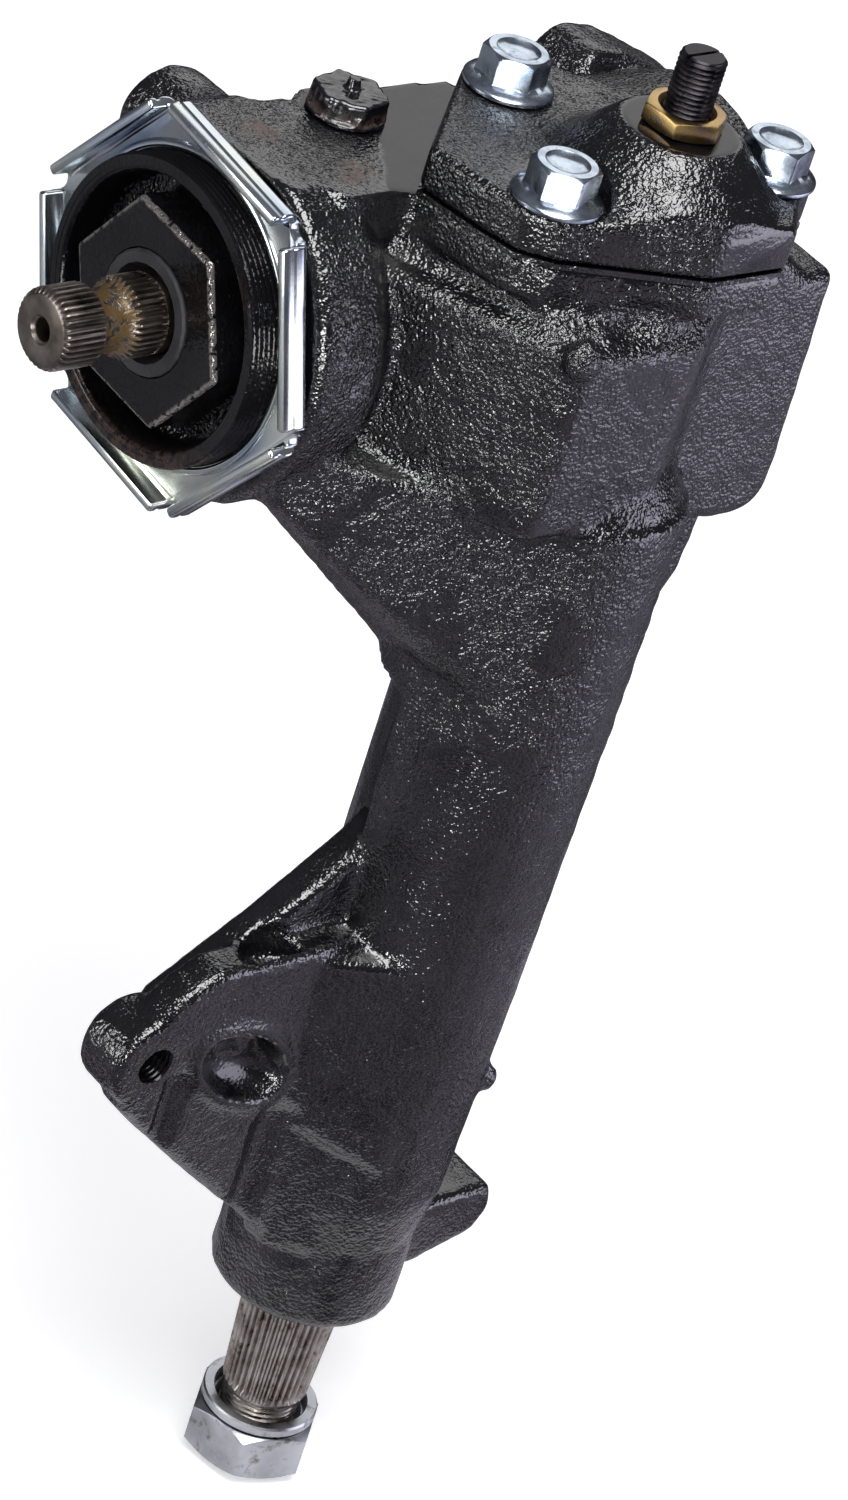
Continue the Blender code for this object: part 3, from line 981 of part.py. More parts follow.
def make_adjuster():
    """The screwed plug that sets the worm bearings, its lock nut and its shaft seal."""
    axis = (WORM_Y, WORM_Z)
    floor = -80.0 * MM
    pocket = CUP_RADIUS + SEAT_GAP
    seal_pocket = INPUT_SEAL_RADIUS + SEAT_GAP
    shaft_hole = SPLINE_RADIUS + 2 * MM
    cup_back = INPUT_BALLS_X - 5.3 * MM
    plug = spun("adjuster", [
        (shaft_hole, cup_back), (shaft_hole, INPUT_SEAL_BACK + SEAT_GAP),
        (seal_pocket, INPUT_SEAL_BACK + SEAT_GAP),
        (seal_pocket, HEX_BOSS_FRONT), (22 * MM, HEX_BOSS_FRONT), (22 * MM, floor),
        (ADJUSTER_RECESS_RADIUS, floor),
        (ADJUSTER_RECESS_RADIUS, ADJUSTER_FRONT), (ADJUSTER_RADIUS - 1 * MM, ADJUSTER_FRONT),
        (ADJUSTER_RADIUS, ADJUSTER_FRONT + 1 * MM), (ADJUSTER_RADIUS, ADJUSTER_BORE_END - SEAT_GAP),
        (WORM_BORE_RADIUS - SEAT_GAP, ADJUSTER_BORE_END - SEAT_GAP),
        (WORM_BORE_RADIUS - SEAT_GAP, ADJUSTER_INNER_END),
        (21.7 * MM, ADJUSTER_INNER_END), (21.7 * MM, ADJUSTER_INNER_END - 1.05 * MM),
        (pocket, ADJUSTER_INNER_END - 1.05 * MM), (pocket, cup_back)], "X", axis, FINE_STEPS)
    hexagon = prism("hex_boss", regular(HEX_BOSS_RADIUS, 6, math.radians(5), axis), HEX_BOSS_FRONT,
                    floor + 1 * MM, "X", bevel=0.8 * MM)
    hollow = spun("hex_hollow", [(0, -100 * MM), (18 * MM, -100 * MM), (18 * MM, -70 * MM), (0, -70 * MM)],
                  "X", axis, 24)
    cut(hexagon, hollow)
    fuse(plug, hexagon)
    node(plug, "worm_bearing_adjuster", (0.014, 0.014, 0.016), 0.35, 0.0)

    inner = ADJUSTER_RADIUS + SEAT_GAP
    sheet = prism("lock_nut", regular(LOCK_NUT_APOTHEM / math.cos(math.pi / 6), 6, math.radians(8), axis),
                  LOCK_NUT_FRONT, LOCK_NUT_BACK, "X")
    for i in range(6):
        turn = Matrix.Rotation(math.radians(38 + 60 * i), 4, "X")
        lip = box(f"lip_{i}", (LOCK_LIP_FRONT, LOCK_NUT_APOTHEM - LOCK_SHEET, -LOCK_LIP_LENGTH / 2),
                  (LOCK_NUT_BACK, LOCK_NUT_APOTHEM + 0.4 * MM, LOCK_LIP_LENGTH / 2))
        lip.data.transform(Matrix.Translation((0, WORM_Y, WORM_Z)) @ turn)
        fuse(sheet, lip)
        notch_turn = Matrix.Rotation(math.radians(8 + 60 * i), 4, "X")
        notch = box(f"notch_{i}", (LOCK_LIP_FRONT - 2 * MM, 45.2 * MM, -1.8 * MM),
                    (-70 * MM, 55 * MM, 1.8 * MM))
        notch.data.transform(Matrix.Translation((0, WORM_Y, WORM_Z)) @ notch_turn)
        cut(sheet, notch)
    cut(sheet, spun("lock_nut_bore", [(0, -95 * MM), (inner, -95 * MM), (inner, -70 * MM), (0, -70 * MM)],
                    "X", axis, FINE_STEPS))
    node(sheet, "adjuster_lock_nut", (0.6, 0.62, 0.66), 0.3, 1.0)

    lip_radius = SPLINE_RADIUS + SEAT_GAP
    seal = spun("input_seal", [(lip_radius, -89 * MM), (11.2 * MM, -92 * MM), (11.6 * MM, INPUT_SEAL_FRONT),
                               (INPUT_SEAL_RADIUS - 0.5 * MM, INPUT_SEAL_FRONT),
                               (INPUT_SEAL_RADIUS, -92.8 * MM),
                               (INPUT_SEAL_RADIUS, INPUT_SEAL_BACK), (lip_radius, INPUT_SEAL_BACK)],
                               "X", axis)
    node(seal, "input_shaft_seal", (0.03, 0.03, 0.035), 0.45, 0.0)


make_housing()
make_cover()
make_bolts()
make_lash_adjuster()
make_filler_plug()
make_sector_shaft()
make_shaft_rings()
make_worm()
make_ball_nut()
make_ball_circuits()
make_bearings()
make_adjuster()
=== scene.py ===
"""Looks of a manual steering gearbox, built round its CAD frame.

Each operator makes one piece or one group of pieces, and the panel in the sidebar lists them.
Lengths are in metres. The sector shaft stands on the origin and the worm runs along X.
"""

import json
import math

import bmesh
import bpy
import numpy as np
from mathutils import Matrix, Vector

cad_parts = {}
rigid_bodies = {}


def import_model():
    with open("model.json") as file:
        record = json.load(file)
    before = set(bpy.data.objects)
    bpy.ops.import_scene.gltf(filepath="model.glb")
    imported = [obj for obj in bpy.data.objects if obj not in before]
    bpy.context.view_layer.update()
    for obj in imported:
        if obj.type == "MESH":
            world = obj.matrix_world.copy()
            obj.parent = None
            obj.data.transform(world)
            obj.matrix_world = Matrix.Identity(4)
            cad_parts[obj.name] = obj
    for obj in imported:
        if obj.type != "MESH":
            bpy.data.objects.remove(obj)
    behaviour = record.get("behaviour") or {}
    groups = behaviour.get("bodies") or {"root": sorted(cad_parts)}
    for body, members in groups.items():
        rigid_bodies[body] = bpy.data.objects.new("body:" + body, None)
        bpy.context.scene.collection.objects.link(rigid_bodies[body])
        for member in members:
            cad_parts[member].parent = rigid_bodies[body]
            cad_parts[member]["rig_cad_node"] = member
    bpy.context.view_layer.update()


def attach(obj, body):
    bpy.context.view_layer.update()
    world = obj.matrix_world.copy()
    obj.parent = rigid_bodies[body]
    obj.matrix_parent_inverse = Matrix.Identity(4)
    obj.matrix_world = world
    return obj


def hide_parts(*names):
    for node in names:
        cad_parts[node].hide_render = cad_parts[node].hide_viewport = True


bl_info = {
    "name": "Steering Gearbox Looks",
    "version": (1, 0, 0),
    "blender": (4, 5, 0),
    "location": "3D Viewport > Sidebar > Gearbox",
    "description": "Builds the casting, fasteners, shafts and studio of a steering gearbox",
    "category": "Object",
}

for old in list(bpy.data.objects):
    bpy.data.objects.remove(old, do_unlink=True)
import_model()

MM = 0.001
WORM_Y = 53.5 * MM
WORM_Z = 322.5 * MM
WORM_AXIS = (WORM_Y, WORM_Z)
HOUSING_TOP = 363.6 * MM
COVER_TOP = 376.0 * MM
BOLT_CENTRES = tuple((x * MM, y * MM) for x, y in ((-10.0, 44.0), (-33.8, -1.0), (29.2, -4.6)))
PLUG_CENTRE = (-41.5 * MM, 60.2 * MM)
LUG_CENTRE = (-85.0 * MM, 153.5 * MM)
FRONT_PAD = (-65.0 * MM, 348.0 * MM)
REAR_PAD = (86.0 * MM, 331.0 * MM)
PAD_PLANE = 95.0 * MM
LUG_LOW = -9.6 * MM
LUG_HIGH = 4.4 * MM
BOLT_FLATS = 14.3 * MM
BOLT_HEIGHT = 9.5 * MM
BOLT_TURN = 0.3
BOLT_HOLE_RADIUS = 5.05 * MM
PLUG_HOLE_RADIUS = 6.8 * MM
JAM_NUT_FLATS = 17.5 * MM
PITMAN_NUT_FLATS = 30.0 * MM
HEX_BOSS_CORNER = 26.7 * MM
HEX_BOSS_TURN = 5
LOCK_NUT_APOTHEM = 40.9 * MM
LOCK_NUT_TURN = 8
LOCK_LIP_LENGTH = 41.0 * MM
SPLINE_TEETH = 36
SPLINE_RADIUS = 9.55 * MM
SPLINE_ROOT = 8.45 * MM
PINCH_GROOVE_X = -105.5 * MM
SHAFT_END_X = -122.1 * MM
SERRATIONS = 36
CAMERA_LENS = 145.56
CAMERA_SENSOR = 36.0
FLOOR_REACH = 4.0


# Geometry helpers

def oriented(axis, across, up, along):
    """A point from two coordinates across the axis and one along it."""
    if axis == "X":
        return Vector((along, across, up))
    if axis == "Y":
        return Vector((across, along, up))
    return Vector((across, up, along))


def link(name, mesh):
    made = bpy.data.objects.new(name, mesh)
    bpy.context.scene.collection.objects.link(made)
    return made


def from_bmesh(name, bm):
    bmesh.ops.recalc_face_normals(bm, faces=bm.faces)
    mesh = bpy.data.meshes.new(name)
    bm.to_mesh(mesh)
    bm.free()
    return link(name, mesh)


def turned(name, rings, steps, axis="Z", centre=(0.0, 0.0), radius_at=None, closed=False):
    """A surface of rings about an axis. A ring is (radius, height) and radius_at can shape it by angle."""
    bm = bmesh.new()
    angles = [2 * math.pi * i / steps for i in range(steps)]
    loops = []
    for radius, height in rings:
        if radius < 1e-7:
            loops.append([bm.verts.new(oriented(axis, centre[0], centre[1], height))])
            continue
        loop = []
        for angle in angles:
            here = radius_at(radius, height, angle) if radius_at else radius
            loop.append(bm.verts.new(oriented(axis, centre[0] + here * math.cos(angle),
                                              centre[1] + here * math.sin(angle), height)))
        loops.append(loop)
    pairs = list(zip(loops, loops[1:]))
    if closed:
        pairs.append((loops[-1], loops[0]))
    for low, high in pairs:
        for i in range(steps):
            j = (i + 1) % steps
            corners = [low[i % len(low)], low[j % len(low)], high[j % len(high)], high[i % len(high)]]
            kept = [v for k, v in enumerate(corners) if v not in corners[:k]]
            if len(kept) > 2:
                bm.faces.new(kept)
    return from_bmesh(name, bm)


def prism(name, outline, low, high, axis="Z", top=None):
    bm = bmesh.new()
    base = [bm.verts.new(oriented(axis, a, b, low)) for a, b in outline]
    lid = [bm.verts.new(oriented(axis, a, b, high)) for a, b in (top or outline)]
    bm.faces.new(base)
    bm.faces.new(lid[::-1])
    for i in range(len(base)):
        j = (i + 1) % len(base)
        bm.faces.new((base[i], base[j], lid[j], lid[i]))
    return from_bmesh(name, bm)


def mm(points):
    return [(a * MM, b * MM) for a, b in points]


def regular(radius, sides, turn=0.0, centre=(0.0, 0.0)):
    angles = [turn + 2 * math.pi * i / sides for i in range(sides)]
    return [(centre[0] + radius * math.cos(a), centre[1] + radius * math.sin(a)) for a in angles]


def arc(radius, start, span, steps):
    """Points round the origin, from millimetres and degrees."""
    angles = [math.radians(start + span * i / steps) for i in range(steps + 1)]
    return [(radius * MM * math.cos(a), radius * MM * math.sin(a)) for a in angles]


def flipped(points):
    return [(b, a) for a, b in points]


def baked(target):
    """Apply every modifier of an object."""
    graph = bpy.context.evaluated_depsgraph_get()
    mesh = bpy.data.meshes.new_from_object(target.evaluated_get(graph), depsgraph=graph)
    target.modifiers.clear()
    old = target.data
    target.data = mesh
    if not old.users:
        bpy.data.meshes.remove(old)
    return target


def boolean(target, operation, *tools):
    """Apply a Boolean with each tool, then remove the tools."""
    for tool in tools:
        step = target.modifiers.new("step", "BOOLEAN")
        step.operation = operation
        step.solver = "MANIFOLD"
        step.object = tool
        baked(target)
        bpy.data.objects.remove(tool)
    if not len(target.data.polygons):
        raise RuntimeError(f"{target.name}: a Boolean left nothing")
    return target


def modified(target, kind, **settings):
    step = target.modifiers.new(kind.lower(), kind)
    for key, value in settings.items():
        setattr(step, key, value)
    return baked(target)


def bevelled(target, width, segments=3, angle=30):
    """Rounded edges on a hard-edged piece."""
    return modified(target, "BEVEL", width=width, segments=segments, limit_method="ANGLE",
                    angle_limit=math.radians(angle), harden_normals=False)


def smooth(target, angle=35):
    target.data.shade_smooth()
    target.data.set_sharp_from_angle(angle=math.radians(angle))
    return target


def copied(node, name):
    """A merged copy of a CAD node's mesh, which has split corners."""
    mesh = bpy.data.objects[node].data.copy()
    mesh.name = name
    bm = bmesh.new()
    bm.from_mesh(mesh)
    bmesh.ops.remove_doubles(bm, verts=bm.verts, dist=2e-6)
    bmesh.ops.dissolve_degenerate(bm, edges=bm.edges, dist=1e-6)
    bm.to_mesh(mesh)
    bm.free()
    mesh.materials.clear()
    for layer in list(mesh.attributes):
        if layer.name == "custom_normal":
            mesh.attributes.remove(layer)
    return link(name, mesh)


def cylinder(radius, low, high, axis="Z", centre=(0.0, 0.0), steps=48):
    return turned("tool", [(0, low), (radius, low), (radius, high), (0, high)], steps, axis, centre)


def block(lows, highs):
    corners = [(lows[0], lows[1]), (highs[0], lows[1]), (highs[0], highs[1]), (lows[0], highs[1])]
    return prism("tool", corners, lows[2], highs[2])


def ellipsoid(centre, radii, turn_y=0.0, turn_z=0.0):
    """An ellipsoid in millimetres, turned about its centre."""
    angles = [math.pi * i / 16 for i in range(17)]
    ball = turned("tool", [(math.sin(a), -math.cos(a)) for a in angles], 32)
    turn = Matrix.Rotation(math.radians(turn_y), 4, "Y") @ Matrix.Rotation(math.radians(turn_z), 4, "Z")
    scale = Matrix.Diagonal((radii[0] * MM, radii[1] * MM, radii[2] * MM, 1.0))
    ball.data.transform(Matrix.Translation(Vector(centre) * MM) @ turn @ scale)
    return ball


def smooth_step(low, high, value):
    share = np.clip((value - low) / (high - low), 0, 1)
    return share * share * (3 - 2 * share)


def coordinates(target):
    points = np.zeros(len(target.data.vertices) * 3, np.float32)
    target.data.vertices.foreach_get("co", points)
    return points.reshape(-1, 3).astype(float)


def place_points(target, points):
    target.data.vertices.foreach_set("co", points.astype(np.float32).ravel())
    target.data.update()


def push_out(target, points, amounts):
    """Move an object's points along its normals."""
    normals = np.zeros(len(points) * 3, np.float32)
    target.data.vertices.foreach_get("normal", normals)
    points += normals.reshape(-1, 3) * amounts[:, None]
    place_points(target, points)


def painted(target, name, values):
    """Store one number per vertex for the shader."""
    layer = target.data.attributes.new(name, "FLOAT", "POINT")
    layer.data.foreach_set("value", values.astype(np.float32))


# Shader helpers

def add(tree, kind, inputs=None, **settings):
    made = tree.nodes.new("ShaderNode" + kind)
    for key, value in settings.items():
        setattr(made, key, value)
    for key, value in (inputs or {}).items():
        if isinstance(value, bpy.types.NodeSocket):
            tree.links.new(value, made.inputs[key])
        else:
            made.inputs[key].default_value = value
    return made


def noise(tree, place, scale, detail=2.0, roughness=0.5, distortion=0.0):
    return add(tree, "TexNoise", {"Vector": place, "Scale": scale, "Detail": detail, "Roughness": roughness,
                                  "Distortion": distortion}).outputs["Fac"]


def calculate(tree, operation, first, second=0.0, clamp=False):
    return add(tree, "Math", {0: first, 1: second}, operation=operation, use_clamp=clamp).outputs[0]


def times(tree, first, second, clamp=False):
    return calculate(tree, "MULTIPLY", first, second, clamp)


def remap(tree, value, low, high, to_low=0.0, to_high=1.0):
    return add(tree, "MapRange", {"Value": value, "From Min": low, "From Max": high, "To Min": to_low,
                                  "To Max": to_high}).outputs["Result"]


def distance(tree, first, second):
    """The distance from an axis, from two coordinates across it."""
    squares = [times(tree, value, value) for value in (first, second)]
    return calculate(tree, "SQRT", calculate(tree, "ADD", *squares))


def blended(tree, share, first, second):
    """A colour between two colours."""
    made = tree.nodes.new("ShaderNodeMix")
    made.data_type = "RGBA"
    sockets = [s for s in made.inputs if s.type == "RGBA"]
    factor = made.inputs[0]
    for socket, value in ((factor, share), (sockets[0], first), (sockets[1], second)):
        if isinstance(value, bpy.types.NodeSocket):
            tree.links.new(value, socket)
        else:
            socket.default_value = value
    return next(s for s in made.outputs if s.type == "RGBA")


def rgb(r, g, b):
    return (r, g, b, 1.0)


def new_material(name):
    """A node material with its tree, its shader and object coordinates."""
    made = bpy.data.materials.new(name)
    made.use_nodes = True
    tree = made.node_tree
    shader = tree.nodes["Principled BSDF"]
    place = add(tree, "TexCoord").outputs["Object"]
    return made, tree, shader, place


def connect(tree, shader, **values):
    for key, value in values.items():
        socket = shader.inputs[key.replace("_", " ")]
        if isinstance(value, bpy.types.NodeSocket):
            tree.links.new(value, socket)
        else:
            socket.default_value = value


def cast_paint(name, grain=1150.0, depth=0.0007, rust=0.5, gloss=0.1, ior=1.9, milled_ior=1.45):
    """Gloss black paint over sand-cast iron.

    The vertex attributes say how coarse the skin is (cast), where the paint is brown (worn) and where it
    is rubbed off (bare).
    """
    made, tree, shader, place = new_material(name)
    cast = add(tree, "Attribute", attribute_name="cast").outputs["Fac"]
    pebbles = noise(tree, place, grain, 1.0, 0.4)
    pits = add(tree, "TexVoronoi", {"Vector": place, "Scale": grain * 0.55},
               feature="SMOOTH_F1").outputs["Distance"]
    lumps = noise(tree, place, 260.0, 2.0, 0.5)
    calm = remap(tree, noise(tree, place, 62.0, 2.0, 0.5), 0.36, 0.52, 0.45, 1.0)
    skin = calculate(tree, "ADD", pebbles, times(tree, pits, 0.4))
    skin = calculate(tree, "ADD", skin, times(tree, lumps, 0.7))
    skin = calculate(tree, "SUBTRACT", skin, 1.05)
    skin = times(tree, times(tree, skin, calm), cast)
    orange_peel = times(tree, noise(tree, place, 420.0, 1.0), 0.04)
    bump = add(tree, "Bump", {"Strength": 1.0, "Distance": depth,
                              "Height": calculate(tree, "ADD", skin, orange_peel)})
    speck = noise(tree, place, 240.0, 4.0, 0.65)
    patch = noise(tree, place, 26.0, 2.0, 0.5)
    rusty = times(tree, remap(tree, speck, 0.68, 0.74), remap(tree, patch, 0.56, 0.68))
    worn = add(tree, "Attribute", attribute_name="worn").outputs["Fac"]
    worn = times(tree, worn, remap(tree, noise(tree, place, 430.0, 4.0, 0.7), 0.42, 0.56))
    rusty = calculate(tree, "MAXIMUM", times(tree, rusty, rust, clamp=True), worn)
    broad = noise(tree, place, 55.0, 3.0, 0.6)
    black = blended(tree, remap(tree, broad, 0.35, 0.7), rgb(0.0015, 0.0014, 0.002),
                    rgb(0.006, 0.0055, 0.007))
    colour = blended(tree, rusty, black, rgb(0.085, 0.05, 0.038))
    rough = remap(tree, noise(tree, place, 90.0, 3.0, 0.6), 0.3, 0.7, gloss, gloss + 0.12)
    rough = calculate(tree, "ADD", rough, times(tree, rusty, 0.4))
    bare = add(tree, "Attribute", attribute_name="bare").outputs["Fac"]
    bare = times(tree, bare, remap(tree, noise(tree, place, 520.0, 3.0, 0.6), 0.4, 0.55))
    colour = blended(tree, bare, colour, rgb(0.4, 0.38, 0.36))
    connect(tree, shader, Base_Color=colour, Roughness=rough, Normal=bump.outputs["Normal"], Metallic=bare,
            IOR=remap(tree, cast, 0.0, 0.35, milled_ior, ior))
    return made


def plated(name, light, dark, roughness=0.24, grain=900.0, depth=0.000008, stain=None, cloud=70.0):
    """Plated or bare steel with faint clouds, fine scratches and worn patches."""
    made, tree, shader, place = new_material(name)
    clouds = noise(tree, place, cloud, 4.0, 0.55)
    fine = noise(tree, place, grain, 3.0, 0.6)
    colour = blended(tree, remap(tree, clouds, 0.36, 0.64), rgb(*dark), rgb(*light))
    if stain:
        share = remap(tree, noise(tree, place, 260.0, 5.0, 0.6), 0.55, 0.68)
        colour = blended(tree, share, colour, rgb(*stain))
    stretched = add(tree, "Mapping", {"Vector": place, "Scale": (1.0, 9.0, 1.0)}).outputs["Vector"]
    scratches = noise(tree, stretched, 420.0, 2.0, 0.5)
    rough = remap(tree, clouds, 0.3, 0.7, roughness * 0.75, roughness * 1.4)
    height = calculate(tree, "ADD", fine, times(tree, scratches, 0.8))
    bump = add(tree, "Bump", {"Strength": 0.6, "Distance": depth, "Height": height})
    connect(tree, shader, Base_Color=colour, Metallic=1.0, Roughness=rough, Normal=bump.outputs["Normal"])
    return made


MATERIALS = {}


def material(key):
    """The shared materials, made when first asked for."""
    if key not in MATERIALS:
        MATERIALS[key] = RECIPES[key](key)
    return MATERIALS[key]


RECIPES = {
    "housing_paint": cast_paint,
    "cover_paint": lambda name: cast_paint(name, grain=1200.0, depth=0.0006, rust=0.1),
    "adjuster_paint": lambda name: cast_paint(name, grain=1000.0, depth=0.0007, rust=0.15, ior=1.5,
                                              milled_ior=1.25),
    "plug_paint": lambda name: cast_paint(name, grain=420.0, depth=0.0006, rust=0.8, gloss=0.14),
    "bright_zinc": lambda name: plated(name, (0.66, 0.74, 0.84), (0.36, 0.42, 0.5), 0.19, cloud=150.0,
                                       stain=(0.3, 0.34, 0.4)),
    "sheet_zinc": lambda name: plated(name, (0.84, 0.87, 0.78), (0.6, 0.67, 0.8), 0.2, cloud=42.0),
    "dull_zinc": lambda name: plated(name, (0.6, 0.62, 0.65), (0.38, 0.39, 0.42), 0.32, depth=0.00003,
                                     stain=(0.2, 0.19, 0.18)),
    "yellow_zinc": lambda name: plated(name, (0.6, 0.42, 0.17), (0.36, 0.23, 0.1), 0.25,
                                       stain=(0.35, 0.28, 0.3)),
    "black_oxide": lambda name: plated(name, (0.075, 0.068, 0.075), (0.02, 0.018, 0.022), 0.4,
                                       depth=0.00006, cloud=240.0),
    "bare_steel": lambda name: plated(name, (0.42, 0.39, 0.37), (0.2, 0.175, 0.16), 0.32, depth=0.00003,
                                      stain=(0.09, 0.06, 0.045), cloud=180.0),
    "greased_steel": lambda name: greased_steel(name),
    "ground_steel": lambda name: plated(name, (0.62, 0.62, 0.64), (0.46, 0.46, 0.48), 0.18),
    "bronze": lambda name: plated(name, (0.6, 0.42, 0.2), (0.4, 0.26, 0.11), 0.28),
    "rubber": lambda name: moulded(name, (0.012, 0.012, 0.014), (0.03, 0.03, 0.034)),
}


def moulded(name, dark, light):
    """Rubber with a soft grain."""
    made, tree, shader, place = new_material(name)
    grain = noise(tree, place, 800.0, 3.0, 0.6)
    colour = blended(tree, remap(tree, noise(tree, place, 90.0, 3.0), 0.3, 0.7), rgb(*dark), rgb(*light))
    bump = add(tree, "Bump", {"Strength": 0.5, "Distance": 0.00004, "Height": grain})
    connect(tree, shader, Base_Color=colour, Roughness=remap(tree, grain, 0.3, 0.7, 0.45, 0.7),
            Normal=bump.outputs["Normal"])
    return made


def done(target, body, finish, slot, *nodes):
    """Give a piece its material and its CAD body, and hide the CAD nodes that it stands for."""
    target.data.materials.clear()
    target.data.materials.append(material(finish))
    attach(target, body)
    if nodes:
        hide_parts(*nodes)
    return target


# Pieces

def make_housing(voxel, rounds):
    housing = copied("gear_housing", "housing_casting")
    fills = [
        cylinder(21.4 * MM, 59.2 * MM, 67.2 * MM),
        cylinder(18.4 * MM, 60 * MM, 308 * MM),
        cylinder(19.6 * MM, 301.5 * MM, 363.2 * MM),
        prism("tool", arc(37.1, -7, 194, 24), 301.5 * MM, 343.5 * MM),
        prism("tool", flipped(arc(37.1, -51, 102, 12)) + mm([(10, 1.5), (-10, 1.5)]), 339 * MM, 363.2 * MM),
        cylinder(32.4 * MM, -66 * MM, 59.2 * MM, "X", WORM_AXIS),
        cylinder(36.7 * MM, -78.8 * MM, -65 * MM, "X", WORM_AXIS),
        cylinder(20.4 * MM, 58 * MM, 68 * MM, "X", WORM_AXIS),
        cylinder(5.3 * MM, LUG_LOW, LUG_HIGH, "Y", LUG_CENTRE),
        cylinder(5.3 * MM, 79 * MM, PAD_PLANE - 0.2 * MM, "Y", FRONT_PAD),
        cylinder(5.3 * MM, 79 * MM, PAD_PLANE - 0.2 * MM, "Y", REAR_PAD),
        cylinder(7.4 * MM, 344 * MM, 363.2 * MM, "Z", PLUG_CENTRE),
    ]
    fills += [cylinder(5.6 * MM, 354 * MM, 363.2 * MM, "Z", centre) for centre in BOLT_CENTRES]
    boolean(housing, "UNION", *fills)
    shelf = turned("tool", mm([(0, 286), (28.7, 286), (28.7, 294), (27.8, 299), (25.6, 304), (22, 309),
                               (0, 309)]), 48)
    boolean(housing, "UNION", ellipsoid((-33.8, -22.8, 348), (4.6, 4.0, 5.0)), shelf,
            ellipsoid((-55.5, -9.6, 145.5), (21, 2.6, 12.5), turn_y=33))
    boolean(housing, "DIFFERENCE", ellipsoid((-15, -24.5, 354.5), (15, 6.5, 6.0), turn_z=-25))
    boolean(housing, "DIFFERENCE", ellipsoid((-55.5, -12.5, 145.5), (17, 9.5, 8.6), turn_y=33))
    modified(housing, "REMESH", mode="VOXEL", voxel_size=voxel, adaptivity=0.0)
    modified(housing, "SMOOTH", factor=0.5, iterations=rounds)
    points = coordinates(housing)
    x, y, z = (points / MM).T
    mottled = 0.16 * (np.sin(x * 0.71 + 1.3 * np.sin(z * 0.23)) * np.sin(z * 0.63 + 0.8 * np.sin(y * 0.31))
                      + np.sin(y * 0.83 + 0.9 * np.sin(x * 0.37)) * np.sin(z * 0.41 + 1.7))
    rough_skin = cast_skin(x, y, z)
    worn = worn_paint(x, y, z)
    push_out(housing, points, mottled * rough_skin * 0.8 * MM)
    painted(housing, "cast", rough_skin)
    painted(housing, "worn", worn)

    cuts = [
        turned("tool", mm([(0, 50), (21.9, 50), (21.9, 59.1), (20.9, 59.9), (20.9, 66.6), (17.75, 66.6),
                           (17.75, 307), (0, 307)]), 64),
        cylinder(19 * MM, 302 * MM, 370 * MM),
        prism("tool", arc(36.6, -6, 192, 40), 302.2 * MM, 343 * MM),
        prism("tool", flipped(arc(36.6, -50, 100, 24)) + mm([(10, 2), (-10, 2)]), 340 * MM, 370 * MM),
        turned("tool", mm([(0, -100), (36.1, -100), (36.1, -65.7), (31.9, -65.7), (31.9, 58.6),
                           (19.8, 58.6), (19.8, 67.3), (0, 67.3)]), 72, "X", WORM_AXIS),
        prism("tool", mm([(-22.6, 75), (-60.3, 20), (-60.3, -60), (60, -60), (60, 75)]),
              HOUSING_TOP, 380 * MM),
        cylinder(10.4 * MM, HOUSING_TOP, 380 * MM, "Z", PLUG_CENTRE),
        block((-100 * MM, PAD_PLANE, 200 * MM), (120 * MM, 110 * MM, 380 * MM)),
        cylinder(60 * MM, -100 * MM, -79.4 * MM, "X", WORM_AXIS),
        cylinder(40 * MM, 50 * MM, 58.5 * MM),
    ]
    cuts += [threaded("tool", 4.7 * MM, 5.05 * MM, 1.4 * MM, low, high, "Y", centre)
             for centre, low, high in ((LUG_CENTRE, -20 * MM, 20 * MM), (FRONT_PAD, 80 * MM, 98 * MM),
                                       (REAR_PAD, 80 * MM, 98 * MM))]
    cuts += [cylinder(BOLT_HOLE_RADIUS, 355.5 * MM, 370 * MM, "Z", centre, 32) for centre in BOLT_CENTRES]
    cuts.append(cylinder(PLUG_HOLE_RADIUS, 345 * MM, 370 * MM, "Z", PLUG_CENTRE, 32))
    boolean(housing, "DIFFERENCE", *cuts)
    smooth(housing, 40)
    return done(housing, "gear_case", "housing_paint", "gloss_black_paint", "gear_housing")


def cast_skin(x, y, z):
    """How coarse the cast skin is at each point, from 0 for machined to 1."""
    level = np.ones(len(x))
    radius = np.hypot(x, y)
    strip = smooth_step(-2, 3, y) * (1 - smooth_step(25, 27, radius)) * smooth_step(100, 108, z)
    strip *= 1 - smooth_step(236, 246, z)
    level *= 0.5 + 0.5 * smooth_step(205, 250, z + 0.5 * x)
    level *= 1 - 0.7 * strip
    pocket = np.hypot((x + 55.5) / 19, (z - 146) / 12)
    level *= 1 - 0.6 * (1 - smooth_step(0.8, 1.1, pocket)) * smooth_step(2, -2, y)
    level *= 1 - 0.35 * smooth_step(-32, -28, x) * smooth_step(12, 15, -y) * smooth_step(296, 300, z) \
        * (1 - smooth_step(343, 348, z))
    level *= 1 - 0.35 * smooth_step(18, 24, x) * smooth_step(6, 9, -y) * smooth_step(282, 290, z)
    level *= 1 - smooth_step(94.2, 94.8, y)
    milled = smooth_step(363.0, 363.5, z) * smooth_step(-47.6, -46.0, x - 0.686 * (y - 40))
    level *= 1 - milled
    level *= 1 - 0.3 * smooth_step(362.0, 363.5, z)
    flange = smooth_step(-76, -78.6, x) * smooth_step(240, 300, z)
    return level * (1 - 0.6 * flange)


